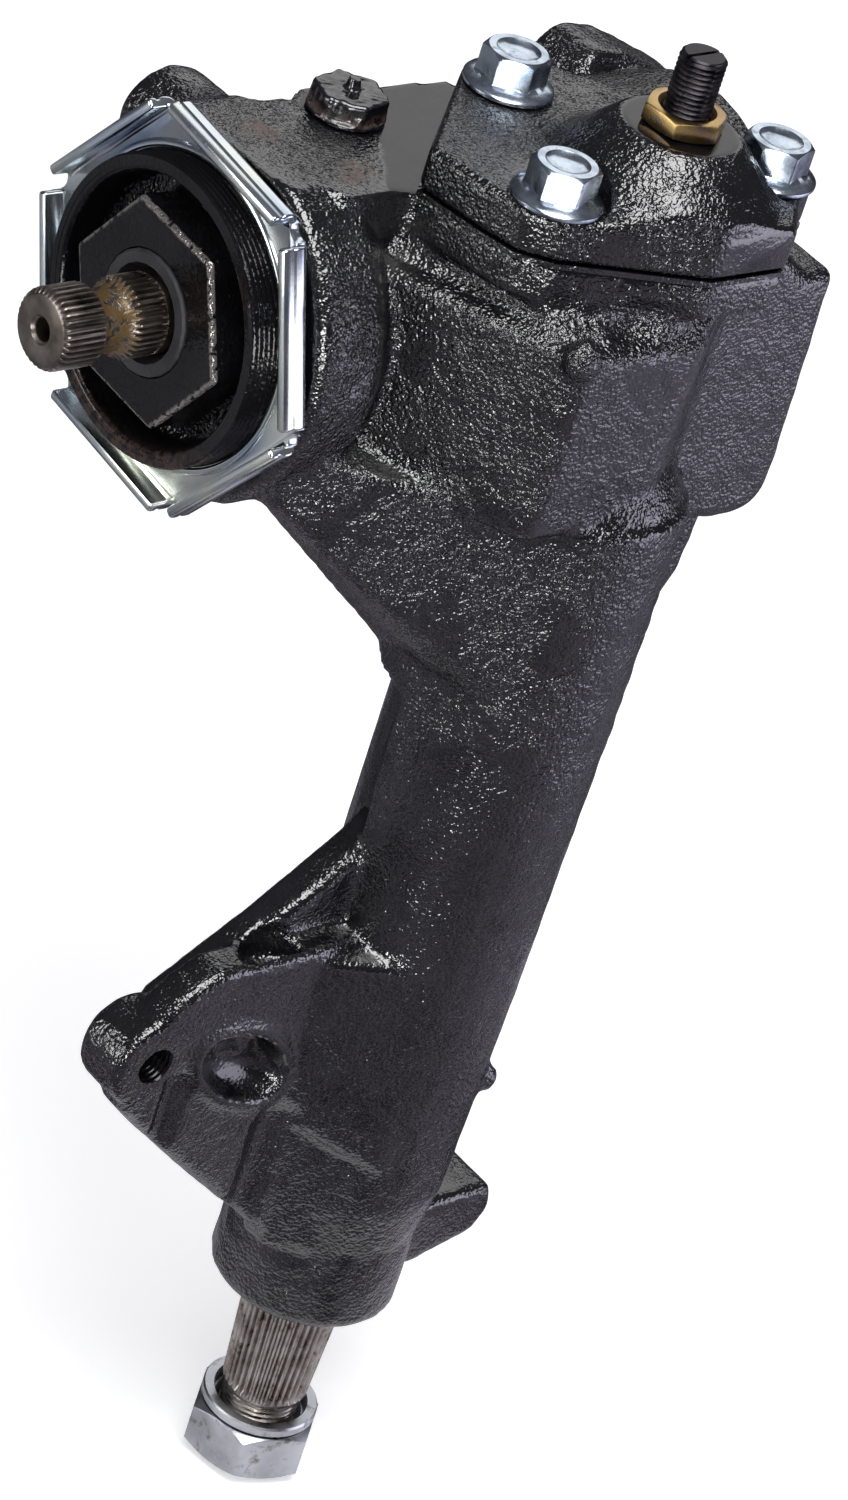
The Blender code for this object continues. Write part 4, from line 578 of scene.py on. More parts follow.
def worn_paint(x, y, z):
    """Where the paint has gone brown, as blots on the deck beside the filler plug."""
    level = np.zeros(len(x))
    for centre_x, centre_y, radius in ((-55.7, 38.3, 5.5), (-60.0, 36.0, 3.5), (-68.5, 57.9, 6.0),
                                       (-33.0, 52.0, 2.5)):
        away = np.hypot(x - centre_x, y - centre_y)
        level = np.maximum(level, 1 - smooth_step(radius * 0.5, radius, away))
    return level * smooth_step(360, 362, z)


def threaded(name, crest, root, pitch, low, high, axis="Z", centre=(0.0, 0.0), steps=32, chamfer=0.0):
    """A right-hand thread between two radii, with tapered ends."""
    per_pitch = 6
    count = max(8, int(round((high - low) / pitch * per_pitch)))
    rings = [(0.0, low)]
    rings += [(1.0, low + (high - low) * i / count) for i in range(count + 1)]
    rings += [(0.0, high)]

    def radius_at(_, height, angle):
        phase = (height / pitch - angle / (2 * math.pi)) % 1.0
        share = abs(phase - 0.5) * 2
        share = min(1.0, max(0.0, (share - 0.12) / 0.76))
        here = crest + (root - crest) * share
        if chamfer:
            near = min(height - low, high - height)
            here = min(here, max(crest, root) - max(0.0, chamfer - near))
        return here

    return turned(name, rings, steps, axis, centre, radius_at)


def make_cover(voxel, rounds):
    cover = copied("side_cover", "side_cover_casting")
    fills = [cylinder(16.2 * MM, 350.4 * MM, 388 * MM), cylinder(6.4 * MM, 380 * MM, 389.6 * MM)]
    fills += [cylinder(5.6 * MM, 365.4 * MM, 375.9 * MM, "Z", centre) for centre in BOLT_CENTRES]
    boolean(cover, "UNION", *fills)
    modified(cover, "REMESH", mode="VOXEL", voxel_size=voxel, adaptivity=0.0)
    modified(cover, "SMOOTH", factor=0.5, iterations=rounds)
    cuts = [
        turned("tool", mm([(0, 340), (15.5, 340), (15.5, 371.3), (13.3, 371.3), (13.3, 376), (5.85, 376),
                           (5.85, 400), (0, 400)]), 56),
        turned("tool", mm([(18.5, 340), (60, 340), (60, 365.0), (18.5, 365.0)]), 64, closed=True),
        cylinder(20 * MM, 390.2 * MM, 396 * MM),
        block((-3.2 * MM, -40 * MM, 365 * MM), (19 * MM, -25.75 * MM, 377 * MM)),
    ]
    cuts += [cylinder(BOLT_HOLE_RADIUS, 360 * MM, 376 * MM, "Z", centre, 32) for centre in BOLT_CENTRES]
    cuts += [cylinder(11.8 * MM, COVER_TOP, 392 * MM, "Z", centre, 48) for centre in BOLT_CENTRES]
    boolean(cover, "DIFFERENCE", *cuts)
    x, y, z = (coordinates(cover) / MM).T
    level = np.ones(len(x)) * 0.9
    level *= 1 - 0.7 * smooth_step(-25.2, -25.7, y)
    level *= 1 - smooth_step(389.8, 390.1, z)
    level *= smooth_step(364.9, 365.4, z)
    painted(cover, "cast", level)
    smooth(cover, 40)
    return done(cover, "gear_case", "cover_paint", "gloss_black_paint", "side_cover")


def make_gasket():
    """The gasket, squeezed flush with the cover's edge and painted over."""
    gasket = copied("cover_gasket", "painted_gasket")
    points = coordinates(gasket)
    points[:, :2] *= 1.009
    points[:, 2] = 364.3 * MM + (points[:, 2] - 364.3 * MM) * 1.65
    place_points(gasket, points)
    painted(gasket, "cast", np.full(len(points), 0.6))
    smooth(gasket, 30)
    return done(gasket, "gear_case", "cover_paint", "gasket_paper", "cover_gasket")


def hexagon_head(name, flats, low, high, centre, turn, dish=0.0, steps=48, base_flat=False, chamfer=30.0):
    """A hexagon whose corners are chamfered, with an optional dish in its top."""
    corner = flats / math.sqrt(3)
    drop = (corner - flats / 2) * math.tan(math.radians(chamfer)) + 0.25 * MM
    head = prism(name, regular(corner, 6, turn, centre), low, high)
    top = [(corner + 0.2 * MM, high - drop - 0.1 * MM), (flats / 2 - 0.2 * MM, high)]
    if dish:
        top += [(flats * 0.37, high), (flats * 0.32, high - dish * 0.6), (flats * 0.2, high - dish)]
        top += [(0, high - dish)]
    else:
        top += [(0, high)]
    if base_flat:
        foot = [(0, low - 1 * MM), (corner + 0.2 * MM, low - 1 * MM)]
    else:
        foot = [(0, low), (flats / 2 - 0.2 * MM, low), (corner + 0.2 * MM, low + drop + 0.1 * MM)]
    return boolean(head, "INTERSECT", turned("tool", foot + top, steps, "Z", centre))


def make_cover_bolt(index):
    centre = BOLT_CENTRES[index]
    seat = COVER_TOP + 0.3 * MM
    head = hexagon_head(f"cover_bolt_{index + 1}_head", BOLT_FLATS, seat + 1.0 * MM, seat + BOLT_HEIGHT,
                        centre, BOLT_TURN, dish=1.0 * MM, base_flat=True)
    profile = [(0, 0), (10.5, 0), (10.8, 0.3), (10.8, 1.0), (10.4, 1.45), (8.6, 2.1), (7.2, 2.9), (0, 2.9)]
    flange = turned("tool", [(r * MM, seat + h * MM) for r, h in profile], 64, "Z", centre)
    boolean(head, "UNION", flange)
    bevelled(head, 0.3 * MM, 2, 32)
    shank = threaded("tool", 4.1 * MM, 4.75 * MM, 1.5 * MM, 355.9 * MM, seat + 0.5 * MM, "Z", centre,
                     32, 0.8 * MM)
    boolean(head, "UNION", shank)
    smooth(head, 32)
    return done(head, "gear_case", "bright_zinc", "zinc_steel", f"cover_bolt_{index + 1}")


def make_lash_adjuster():
    stud = threaded("adjuster_stud", 4.85 * MM, 5.55 * MM, 1.27 * MM, 368.0 * MM, 408.5 * MM, steps=40,
                    chamfer=0.9 * MM)
    head = turned("tool", mm([(0, 365.3), (7.8, 365.3), (8, 365.5), (8, 368.7), (7.8, 368.9), (0, 368.9)]),
                  48)
    boolean(stud, "UNION", head)
    boolean(stud, "DIFFERENCE", block((-8 * MM, -0.5 * MM, 407.3 * MM), (8 * MM, 0.5 * MM, 410 * MM)))
    smooth(stud, 40)
    done(stud, "gear_case", "black_oxide", "black_oxide_steel", "lash_adjuster_screw")
    nut = hexagon_head("adjuster_jam_nut", JAM_NUT_FLATS, 390.5 * MM, 395.0 * MM, (0.0, 0.0), 0.6,
                       chamfer=14.0)
    hole = turned("tool", mm([(0, 389), (6.9, 389), (6.9, 390.5), (5.8, 391.6), (5.8, 393.9), (6.9, 395.0),
                              (6.9, 396), (0, 396)]), 48)
    boolean(nut, "DIFFERENCE", hole)
    bevelled(nut, 0.25 * MM, 2, 25)
    smooth(nut, 30)
    return done(nut, "gear_case", "yellow_zinc", "yellow_zinc", "lash_adjuster_jam_nut")


def make_adjuster():
    hexagon = prism("hex_boss", regular(HEX_BOSS_CORNER, 6, math.radians(HEX_BOSS_TURN), WORM_AXIS),
                    -92.5 * MM, -79.0 * MM, "X")
    bevelled(hexagon, 0.9 * MM, 3, 32)
    core = cylinder(34.6 * MM, -90.9 * MM, -66.2 * MM, "X", WORM_AXIS, 96)
    core.name = core.data.name = "bearing_adjuster_plug"
    boolean(core, "DIFFERENCE", turned("tool", mm([
        (0, -100), (32.4, -100), (32.4, -91), (31.5, -89.8), (31.5, -81.5), (30, -80), (0, -80)]),
        96, "X", WORM_AXIS))
    boolean(core, "UNION", hexagon)
    modified(core, "REMESH", mode="VOXEL", voxel_size=0.55 * MM, adaptivity=0.0)
    modified(core, "SMOOTH", factor=0.5, iterations=1)
    thread = threaded("tool", 35.1 * MM, 35.8 * MM, 1.4 * MM, -91.0 * MM, -66.0 * MM, "X", WORM_AXIS, 96,
                      0.6 * MM)
    boolean(thread, "DIFFERENCE", cylinder(33.6 * MM, -100 * MM, -60 * MM, "X", WORM_AXIS, 96))
    tail = turned("tool", mm([(21.7, -67), (31.6, -67), (31.6, -61.9), (21.7, -61.9)]), 72, "X", WORM_AXIS,
                  closed=True)
    boolean(core, "UNION", thread, tail)
    boolean(core, "DIFFERENCE", turned("tool", mm([
        (0, -100), (14.9, -100), (14.9, -85), (11.55, -85), (11.55, -71.3), (19.8, -71.3), (19.8, -63),
        (21.7, -63), (21.7, -60), (0, -60)]), 72, "X", WORM_AXIS))
    x, y, z = (coordinates(core) / MM).T
    across, up = y - WORM_Y / MM, z - WORM_Z / MM
    radius = np.hypot(across, up)
    rim = smooth_step(31.2, 31.9, radius)
    face = smooth_step(-91.9, -92.3, x)
    painted(core, "cast", 1 - 0.8 * np.maximum(rim, face))
    painted(core, "worn", 0.35 * rim * smooth_step(308, 292, z) * smooth_step(-86, -89, x))
    sides = [math.radians(HEX_BOSS_TURN + 30 + 60 * i) for i in range(6)]
    reach = np.max([across * math.cos(a) + up * math.sin(a) for a in sides], axis=0)
    rubbed = smooth_step(22.0, 22.7, reach) * (1 - smooth_step(23.4, 24.2, reach))
    rubbed = rubbed * smooth_step(-91.0, -91.8, x)
    painted(core, "bare", 0.9 * rubbed)
    smooth(core, 40)
    return done(core, "gear_case", "adjuster_paint", "gloss_black_paint", "worm_bearing_adjuster")


def make_lock_nut():
    """The stamped lock nut: a hexagon sheet with a raised ring and six turned-up lips."""
    corner = LOCK_NUT_APOTHEM / math.cos(math.pi / 6)
    sheet = prism("lock_nut_sheet", regular(corner, 6, math.radians(LOCK_NUT_TURN), WORM_AXIS),
                  -83.2 * MM, -80.6 * MM, "X")
    section = [(34.0, -80.6), (40.1, -80.6)]
    section += [(40.1 + 2.8 * math.sin(math.radians(a)), -83.4 + 2.8 * math.cos(math.radians(a)))
                for a in range(10, 91, 10)]
    section += [(42.9, -84.9), (42.45, -85.3), (42.45, -86.0), (42.9, -86.4)]
    section += [(42.9, -87.6), (42.6, -88.2), (42.1, -88.4), (41.0, -88.4), (40.5, -88.2), (40.3, -87.7)]
    section += [(40.3, -84.2), (40.0, -83.5), (39.3, -83.2), (34.0, -83.2)]
    notches = []
    for i in range(6):
        lip = prism("tool", mm(section), -LOCK_LIP_LENGTH / 2, LOCK_LIP_LENGTH / 2)
        lip.data.transform(Matrix(((0, 1, 0, 0), (1, 0, 0, 0), (0, 0, 1, 0), (0, 0, 0, 1))))
        bevelled(lip, 0.9 * MM, 3, 60)
        turn = Matrix.Rotation(math.radians(LOCK_NUT_TURN + 30 + 60 * i), 4, "X")
        lip.data.transform(Matrix.Translation((0, WORM_Y, WORM_Z)) @ turn)
        boolean(sheet, "UNION", lip)
        angle = math.radians(LOCK_NUT_TURN + 60 * i)
        centre = (WORM_Y + 48.0 * MM * math.cos(angle), WORM_Z + 48.0 * MM * math.sin(angle))
        notches.append(cylinder(3.1 * MM, -95 * MM, -75 * MM, "X", centre, 32))
    ring = turned("tool", mm([(35, -82), (38.2, -82), (38.2, -83.3), (37.9, -83.7), (37.4, -84.0),
                              (36.7, -84.0), (36.2, -83.6), (35, -83.6)]), 96, "X", WORM_AXIS, closed=True)
    boolean(sheet, "UNION", ring)
    boolean(sheet, "DIFFERENCE", cylinder(36.1 * MM, -95 * MM, -70 * MM, "X", WORM_AXIS, 96), *notches)
    bevelled(sheet, 0.3 * MM, 2, 50)
    smooth(sheet, 38)
    return done(sheet, "gear_case", "sheet_zinc", "zinc_steel", "adjuster_lock_nut")


def make_filler_plug():
    plug = copied("filler_plug", "filler_plug_head")
    modified(plug, "REMESH", mode="VOXEL", voxel_size=0.4 * MM, adaptivity=0.0)
    modified(plug, "SMOOTH", factor=0.5, iterations=4)
    points = coordinates(plug)
    x, y, z = (points / MM).T
    dents = -0.18 * (1 + np.sin(1.3 * x + 2.0 * np.sin(0.7 * y)) * np.sin(1.1 * y + 1.7 * np.sin(0.6 * z)))
    head = smooth_step(364.6, 365.4, z)
    painted(plug, "cast", 0.35 + 0.65 * smooth_step(369.4, 368.6, z))
    painted(plug, "worn", 0.5 * smooth_step(368.0, 366.0, z) * head)
    push_out(plug, points, dents * head * MM)
    smooth(plug, 40)
    return done(plug, "gear_case", "plug_paint", "gloss_black_paint", "filler_plug")


def splined(crest, root, teeth):
    """Shape a shaft's rings into a rounded V spline. Rings under its root stay round."""

    def radius_at(radius, _, angle):
        share = (math.cos(angle * teeth) + 1) / 2
        share = min(1.0, max(0.0, (share - 0.2) / 0.55))
        return min(radius, root + (crest - root) * share) if radius > root else radius
    return radius_at


def make_input_shaft():
    shaft = copied("worm_shaft", "input_worm_shaft")
    boolean(shaft, "DIFFERENCE", cylinder(30 * MM, -130 * MM, -93.2 * MM, "X", WORM_AXIS))
    centre_hole = [(0, -113.5), (2.7, -115.0), (2.8, -121.3), (3.4, -122.1)]
    end_rings = [(7.7, -122.1), (8.3, -121.9), (9.2, -121.2), (9.55, -120.5), (9.55, -112), (9.55, -111.2)]
    groove = [(9.2, -110.7), (8.7, -110.2), (8.0, -109.6), (7.5, -108.8), (7.3, -107.5), (7.3, -104.5),
              (7.5, -103.2), (8.0, -102.4), (8.7, -101.8), (9.2, -101.3)]
    inner_rings = [(9.55, -100.8), (9.55, -95.2), (9.55, -94.4), (9.3, -93.4), (9.3, -92.0), (0, -92.0)]
    rings = centre_hole + end_rings + groove + inner_rings
    stub = turned("tool", mm(rings), SPLINE_TEETH * 8, "X", WORM_AXIS,
                  splined(SPLINE_RADIUS, SPLINE_ROOT, SPLINE_TEETH))
    boolean(shaft, "UNION", stub)
    smooth(shaft, 32)
    return done(shaft, "worm", "greased_steel", "bare_steel", "worm_shaft")


def greased_steel(name):
    """Brownish bare steel with amber grease in the pinch-bolt groove, and painted shade that darkens the
    centre hole.
    """
    made, tree, shader, place = new_material(name)
    split = add(tree, "SeparateXYZ", {"Vector": place}).outputs
    along = split["X"]
    near = calculate(tree, "ABSOLUTE", calculate(tree, "SUBTRACT", along, PINCH_GROOVE_X))
    band = remap(tree, near, 0.0035, 0.006, 1.0, 0.0)
    blots = noise(tree, place, 420.0, 3.0, 0.6, 0.4)
    grease = times(tree, band, remap(tree, blots, 0.44, 0.52))
    clouds = noise(tree, place, 150.0, 4.0, 0.6)
    steel = blended(tree, remap(tree, clouds, 0.3, 0.7), rgb(0.13, 0.105, 0.09), rgb(0.34, 0.3, 0.27))
    colour = blended(tree, grease, steel, rgb(0.12, 0.075, 0.03))
    # Painted shade: inside the centre hole the colour goes near black and the metal share drops, standing
    # in for the shade in the hole.
    radius = distance(tree, calculate(tree, "SUBTRACT", split["Y"], WORM_Y),
                      calculate(tree, "SUBTRACT", split["Z"], WORM_Z))
    deep = remap(tree, along, SHAFT_END_X, SHAFT_END_X + 1.2 * MM)
    painted_hole_shade = times(tree, remap(tree, radius, 0.0034, 0.0029), deep)
    colour = blended(tree, painted_hole_shade, colour, rgb(0.012, 0.009, 0.007))
    fine = noise(tree, place, 900.0, 3.0, 0.6)
    height = calculate(tree, "ADD", fine, times(tree, blots, times(tree, grease, 8.0)))
    bump = add(tree, "Bump", {"Strength": 0.6, "Distance": 0.00003, "Height": height})
    rough = remap(tree, clouds, 0.3, 0.7, 0.26, 0.42)
    metal = times(tree, remap(tree, grease, 0.0, 1.0, 1.0, 0.25), remap(tree, painted_hole_shade, 0.0, 1.0, 1.0, 0.0))
    connect(tree, shader, Base_Color=colour, Metallic=metal, Roughness=rough, Normal=bump.outputs["Normal"])
    return made


def make_sector_shaft():
    shaft = copied("sector_shaft", "sector_output_shaft")
    boolean(shaft, "DIFFERENCE", cylinder(40 * MM, -5 * MM, 60.5 * MM))
    serrated = 999.0
    steps = 24
    rings = mm([(0, 21.0), (10.2, 21.0), (10.35, 22.3)])
    rings += [(serrated, (22.4 + 35.4 * i / steps) * MM) for i in range(steps + 1)]
    rings += mm([(12.1, 58.3), (12.6, 59.2), (13.4, 60.3), (14.3, 61.2), (14.3, 62.5), (0, 62.5)])
    low, high = 22.4 * MM, 57.8 * MM

    def radius_at(radius, height, angle):
        if radius < serrated:
            return radius
        share = (height - low) / (high - low)
        crest = (11.1 + 2.0 * share) * MM
        depth = 1.15 * MM * min(1.0, (height - low) / (1.2 * MM), 0.25 + (high - height) / (5 * MM))
        wave = (math.cos(angle * SERRATIONS) + 1) / 2
        wave = min(1.0, max(0.0, (wave - 0.12) / 0.6))
        return crest - depth * (1 - wave)

    stub = turned("tool", rings, SERRATIONS * 8, "Z", (0.0, 0.0), radius_at)
    thread = threaded("tool", 9.1 * MM, 10.0 * MM, 1.5 * MM, 0.0, 21.6 * MM, steps=48, chamfer=1.2 * MM)
    boolean(stub, "UNION", thread)
    boolean(shaft, "UNION", stub)
    smooth(shaft, 32)
    return done(shaft, "sector_shaft_group", "bare_steel", "bare_steel", "sector_shaft")


def make_pitman_fasteners():
    nut = hexagon_head("sector_shaft_nut", PITMAN_NUT_FLATS, 1.5 * MM, 14.7 * MM, (0.0, 0.0),
                       math.radians(220), steps=72)
    hole = turned("tool", mm([(0, 0), (11.4, 0), (11.4, 1.5), (10.3, 2.8), (10.3, 13.4), (11.4, 14.7),
                              (11.4, 16), (0, 16)]), 64)
    boolean(nut, "DIFFERENCE", hole)
    bevelled(nut, 0.35 * MM, 3, 22)
    smooth(nut, 30)
    done(nut, "sector_shaft_group", "dull_zinc", "zinc_steel", "pitman_nut")
    bm = bmesh.new()
    section = [(11.9, 0.5), (12.3, 0.0), (14.6, 0.0), (15.0, 0.5), (15.0, 2.3), (14.6, 2.8),
               (12.3, 2.8), (11.9, 2.3)]
    rings = []
    steps = 72
    for i in range(steps + 1):
        angle = math.radians(23 + 354 * i / steps)
        rise = 15.0 + 0.4 * (1 - i / steps)
        rings.append([bm.verts.new((r * MM * math.cos(angle), r * MM * math.sin(angle), (h + rise) * MM))
                      for r, h in section])
    for low, high in zip(rings, rings[1:]):
        for i in range(len(section)):
            j = (i + 1) % len(section)
            bm.faces.new((low[i], low[j], high[j], high[i]))
    bm.faces.new(rings[0])
    bm.faces.new(rings[-1][::-1])
    washer = smooth(from_bmesh("sector_shaft_washer", bm), 34)
    return done(washer, "sector_shaft_group", "dull_zinc", "zinc_steel", "pitman_lock_washer")


INNER_FINISHES = {
    "cover_bushing": "bronze",
    "lower_sector_bushing": "bronze",
    "upper_sector_bushing": "bronze",
    "sector_shaft_seal": "rubber",
    "input_shaft_seal": "rubber",
    "guide_clamp_screw_1": "black_oxide",
    "guide_clamp_screw_2": "black_oxide",
}


def dress_inner_nodes():
    """Finishes for the CAD nodes that stay as they are."""
    shown = [o for o in bpy.context.scene.objects if "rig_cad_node" in o and not o.hide_render]
    for node in shown:
        node.data.materials.clear()
        node.data.materials.append(material(INNER_FINISHES.get(node.name, "ground_steel")))
        node.data.shade_smooth()
        node.data.set_sharp_from_angle(angle=math.radians(34))


def area_light(name, place, target, size, power, colour=(1.0, 1.0, 1.0)):
    data = bpy.data.lights.new(name, "AREA")
    data.shape = "RECTANGLE"
    data.size = size[0]
    data.size_y = size[1]
    data.energy = power
    data.color = colour
    lamp = bpy.data.objects.new(name, data)
    bpy.context.scene.collection.objects.link(lamp)
    lamp.location = place
    lamp.rotation_euler = (Vector(target) - Vector(place)).to_track_quat("-Z", "Y").to_euler()


def make_stage(key_power, fill_power):
    """Camera at the photo's view, a pale floor, a white surround and soft lights.

    The gloss paint mirrors the floor, so glossy rays see it darker, with zones of painted reflection: left,
    right, near and foot.
    """
    scene = bpy.context.scene
    right = Vector((0.7410, -0.6171, 0.2648))
    down = Vector((-0.1765, -0.5595, -0.8098))
    ahead = Vector((0.6479, 0.5533, -0.5235))
    eye = Vector((-0.9388, -0.7870, 0.9674))
    data = bpy.data.cameras.new("camera")
    camera = bpy.data.objects.new("camera", data)
    scene.collection.objects.link(camera)
    camera.matrix_world = Matrix(((right.x, -down.x, -ahead.x, eye.x), (right.y, -down.y, -ahead.y, eye.y),
                                  (right.z, -down.z, -ahead.z, eye.z), (0, 0, 0, 1)))
    data.sensor_fit = "VERTICAL"
    data.sensor_height = CAMERA_SENSOR
    data.lens = CAMERA_LENS
    scene.camera = camera

    floor = prism("floor", regular(FLOOR_REACH * math.sqrt(2), 4, math.pi / 4), -0.0025, -0.0005)
    made, tree, shader, place = new_material("pale_floor")
    cloud = noise(tree, place, 3.0, 2.0)
    pale = blended(tree, cloud, rgb(0.9, 0.9, 0.9), rgb(0.93, 0.93, 0.93))
    path = add(tree, "LightPath").outputs
    split = add(tree, "SeparateXYZ", {"Vector": place}).outputs
    # Painted reflections: glossy rays see a dark floor with brighter zones to the left, to the right, near
    # the gearbox, at its foot and in patches, which the gloss paint and the metal mirror as sheen.
    left = remap(tree, calculate(tree, "SUBTRACT", split["Y"], split["X"]), 0.35, 0.95)
    right_side = remap(tree, calculate(tree, "SUBTRACT", split["X"], split["Y"]), 0.25, 0.6)
    reach = distance(tree, split["X"], split["Y"])
    near = remap(tree, reach, 0.46, 0.28)
    bands = remap(tree, noise(tree, place, 9.0, 1.0), 0.4, 0.6, 0.15, 1.0)
    painted_reflection = blended(tree, times(tree, left, bands), rgb(0.03, 0.03, 0.036), rgb(0.6, 0.61, 0.63))
    reflection_patches = remap(tree, noise(tree, place, 14.0, 1.0), 0.5, 0.57)
    reflection_patch = blended(tree, reflection_patches, rgb(0.03, 0.028, 0.034), rgb(0.56, 0.52, 0.62))
    painted_reflection = blended(tree, near, painted_reflection, reflection_patch)
    reflection_patch = blended(tree, reflection_patches, rgb(0.14, 0.13, 0.16), rgb(0.72, 0.68, 0.8))
    painted_reflection = blended(tree, right_side, painted_reflection, reflection_patch)
    painted_reflection = blended(tree, remap(tree, reach, 0.12, 0.07), painted_reflection, rgb(0.85, 0.84, 0.86))
    glow = times(tree, path["Is Camera Ray"], remap(tree, reach, 0.7, 1.5, 0.45, 1.0))
    connect(tree, shader, Base_Color=blended(tree, path["Is Glossy Ray"], pale, painted_reflection),
            Roughness=0.8, Emission_Color=rgb(1, 1, 1), Emission_Strength=glow)
    floor.data.materials.append(made)

    world = bpy.data.worlds.new("studio")
    scene.world = world
    world.use_nodes = True
    tree = world.node_tree
    tree.nodes.clear()
    light_path = add(tree, "LightPath").outputs["Is Camera Ray"]
    up = add(tree, "SeparateXYZ", {"Vector": add(tree, "TexCoord").outputs["Generated"]}).outputs["Z"]
    dim = blended(tree, remap(tree, up, -0.2, 0.9), rgb(0.025, 0.025, 0.03), rgb(0.12, 0.12, 0.135))
    white = add(tree, "Background", {"Color": rgb(1, 1, 1), "Strength": 1.0}).outputs[0]
    grey = add(tree, "Background", {"Color": dim, "Strength": 1.0}).outputs[0]
    mixed = add(tree, "MixShader", {0: light_path, 1: grey, 2: white}).outputs[0]
    add(tree, "OutputWorld", {"Surface": mixed})

    area_light("key_light", (-0.35, -0.4, 1.5), (0, 0.02, 0.28), (0.9, 0.9), key_power)
    area_light("back_light", (1.1, 0.95, 1.2), (0, 0.02, 0.3), (1.4, 1.1), key_power * 0.3)
    area_light("left_light", (-1.4, 0.5, 0.5), (0, 0.02, 0.25), (0.45, 0.8), fill_power)
    area_light("front_light", (-1.15, -1.2, 0.3), (0, 0, 0.25), (0.5, 0.5), fill_power * 1.5)
    area_light("right_light", (0.75, -0.75, 0.3), (0, 0, 0.22), (0.8, 0.6), fill_power * 0.6,
               (0.86, 0.83, 1.0))
    scene.view_settings.view_transform = "Standard"


# Add-on

class GearboxCastingSettings(bpy.types.PropertyGroup):
    housing_voxel: bpy.props.FloatProperty(
        name="Housing grain", description="Voxel size of the housing casting", default=0.0012,
        min=0.0005, max=0.004, precision=5, subtype="DISTANCE", unit="LENGTH")
    cover_voxel: bpy.props.FloatProperty(
        name="Cover grain", description="Voxel size of the side cover casting", default=0.0008,
        min=0.0004, max=0.003, precision=5, subtype="DISTANCE", unit="LENGTH")
    rounds: bpy.props.IntProperty(
        name="Fillet rounds", description="Smoothing rounds that make the casting's fillets", default=3,
        min=0, max=12)


class GearboxStudioSettings(bpy.types.PropertyGroup):
    key_power: bpy.props.FloatProperty(
        name="Key light", description="Power of the overhead soft light", default=18.0, min=0.0,
        subtype="POWER", unit="POWER")
    fill_power: bpy.props.FloatProperty(
        name="Fill light", description="Power of the side soft lights", default=7.0, min=0.0,
        subtype="POWER", unit="POWER")


class GEARBOX_OT_housing(bpy.types.Operator):
    """Build the housing casting with its fillets and machined bores"""
    bl_idname = "gearbox.housing"
    bl_label = "Housing"
    bl_options = {"REGISTER", "UNDO"}

    def execute(self, context):
        settings = context.scene.gearbox_castings
        make_housing(settings.housing_voxel, settings.rounds)
        return {"FINISHED"}


class GEARBOX_OT_cover(bpy.types.Operator):
    """Build the side cover casting with its boss and bolt seats"""
    bl_idname = "gearbox.cover"
    bl_label = "Side cover"
    bl_options = {"REGISTER", "UNDO"}

    def execute(self, context):
        settings = context.scene.gearbox_castings
        make_cover(settings.cover_voxel, settings.rounds)
        make_gasket()
        return {"FINISHED"}


class GEARBOX_OT_cover_bolts(bpy.types.Operator):
    """Build the three flange bolts of the side cover"""
    bl_idname = "gearbox.cover_bolts"
    bl_label = "Cover bolts"
    bl_options = {"REGISTER", "UNDO"}

    def execute(self, context):
        for index in range(len(BOLT_CENTRES)):
            make_cover_bolt(index)
        return {"FINISHED"}


class GEARBOX_OT_lash_adjuster(bpy.types.Operator):
    """Build the lash adjuster stud and its jam nut"""
    bl_idname = "gearbox.lash_adjuster"
    bl_label = "Lash adjuster"
    bl_options = {"REGISTER", "UNDO"}

    def execute(self, context):
        make_lash_adjuster()
        return {"FINISHED"}


class GEARBOX_OT_bearing_adjuster(bpy.types.Operator):
    """Build the worm bearing adjuster and its stamped lock nut"""
    bl_idname = "gearbox.bearing_adjuster"
    bl_label = "Bearing adjuster"
    bl_options = {"REGISTER", "UNDO"}

    def execute(self, context):
        make_adjuster()
        make_lock_nut()
        return {"FINISHED"}


class GEARBOX_OT_filler_plug(bpy.types.Operator):
    """Build the filler plug"""
    bl_idname = "gearbox.filler_plug"
    bl_label = "Filler plug"
    bl_options = {"REGISTER", "UNDO"}

    def execute(self, context):
        make_filler_plug()
        return {"FINISHED"}


class GEARBOX_OT_input_shaft(bpy.types.Operator):
    """Build the splined input shaft and worm"""
    bl_idname = "gearbox.input_shaft"
    bl_label = "Input shaft"
    bl_options = {"REGISTER", "UNDO"}

    def execute(self, context):
        make_input_shaft()
        return {"FINISHED"}


class GEARBOX_OT_sector_shaft(bpy.types.Operator):
    """Build the sector shaft with its serrated and threaded end"""
    bl_idname = "gearbox.sector_shaft"
    bl_label = "Sector shaft"
    bl_options = {"REGISTER", "UNDO"}

    def execute(self, context):
        make_sector_shaft()
        return {"FINISHED"}


class GEARBOX_OT_pitman_fasteners(bpy.types.Operator):
    """Build the nut and lock washer of the sector shaft"""
    bl_idname = "gearbox.pitman_fasteners"
    bl_label = "Shaft nut and washer"
    bl_options = {"REGISTER", "UNDO"}

    def execute(self, context):
        make_pitman_fasteners()
        return {"FINISHED"}


class GEARBOX_OT_inner_pieces(bpy.types.Operator):
    """Give the inner CAD pieces their finishes"""
    bl_idname = "gearbox.inner_pieces"
    bl_label = "Inner pieces"
    bl_options = {"REGISTER", "UNDO"}

    def execute(self, context):
        dress_inner_nodes()
        return {"FINISHED"}


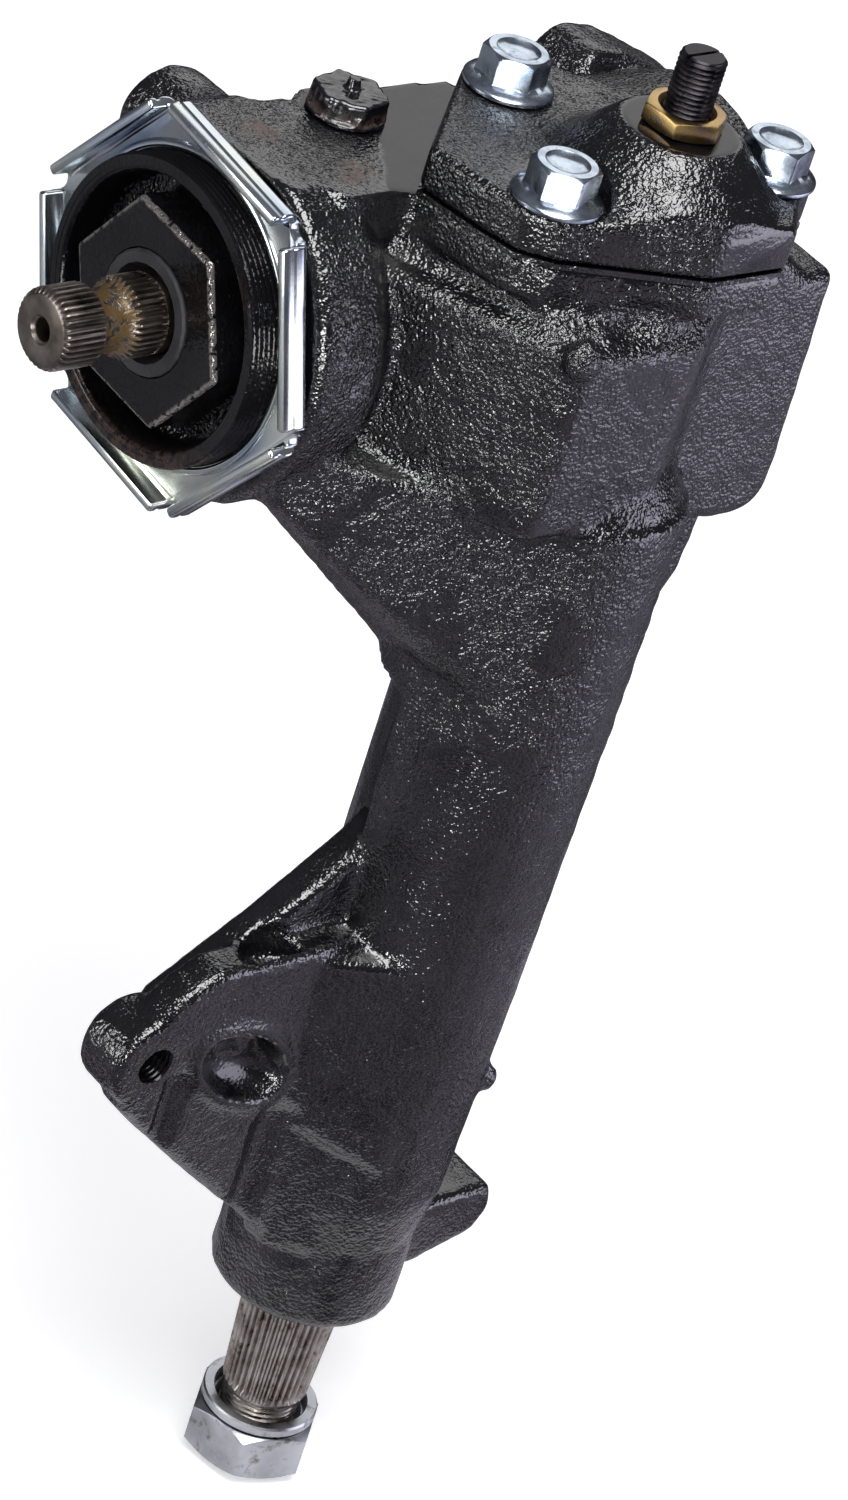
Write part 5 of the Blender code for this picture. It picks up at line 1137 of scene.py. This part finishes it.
class GEARBOX_OT_stage(bpy.types.Operator):
    """Set up the camera, the floor and the soft lights"""
    bl_idname = "gearbox.stage"
    bl_label = "Studio"
    bl_options = {"REGISTER", "UNDO"}

    def execute(self, context):
        settings = context.scene.gearbox_studio
        make_stage(settings.key_power, settings.fill_power)
        return {"FINISHED"}


OPERATORS = (GEARBOX_OT_housing, GEARBOX_OT_cover, GEARBOX_OT_cover_bolts, GEARBOX_OT_lash_adjuster,
             GEARBOX_OT_bearing_adjuster, GEARBOX_OT_filler_plug, GEARBOX_OT_input_shaft,
             GEARBOX_OT_sector_shaft, GEARBOX_OT_pitman_fasteners, GEARBOX_OT_inner_pieces,
             GEARBOX_OT_stage)


class GEARBOX_PT_panel(bpy.types.Panel):
    """Buttons and settings of the steering gearbox"""
    bl_idname = "GEARBOX_PT_panel"
    bl_label = "Steering Gearbox"
    bl_space_type = "VIEW_3D"
    bl_region_type = "UI"
    bl_category = "Gearbox"

    def draw(self, context):
        column = self.layout.column()
        castings = context.scene.gearbox_castings
        studio = context.scene.gearbox_studio
        for key in ("housing_voxel", "cover_voxel", "rounds"):
            column.prop(castings, key)
        for key in ("key_power", "fill_power"):
            column.prop(studio, key)
        for operator in OPERATORS:
            column.operator(operator.bl_idname)


CLASSES = (GearboxCastingSettings, GearboxStudioSettings) + OPERATORS + (GEARBOX_PT_panel,)


def register():
    for item in CLASSES:
        bpy.utils.register_class(item)
    bpy.types.Scene.gearbox_castings = bpy.props.PointerProperty(type=GearboxCastingSettings)
    bpy.types.Scene.gearbox_studio = bpy.props.PointerProperty(type=GearboxStudioSettings)


def unregister():
    del bpy.types.Scene.gearbox_studio
    del bpy.types.Scene.gearbox_castings
    for item in reversed(CLASSES):
        bpy.utils.unregister_class(item)


def main():
    register()
    bpy.ops.gearbox.housing()
    bpy.ops.gearbox.cover()
    bpy.ops.gearbox.cover_bolts()
    bpy.ops.gearbox.lash_adjuster()
    bpy.ops.gearbox.bearing_adjuster()
    bpy.ops.gearbox.filler_plug()
    bpy.ops.gearbox.input_shaft()
    bpy.ops.gearbox.sector_shaft()
    bpy.ops.gearbox.pitman_fasteners()
    bpy.ops.gearbox.inner_pieces()
    bpy.ops.gearbox.stage()


if __name__ == "__main__":
    main()
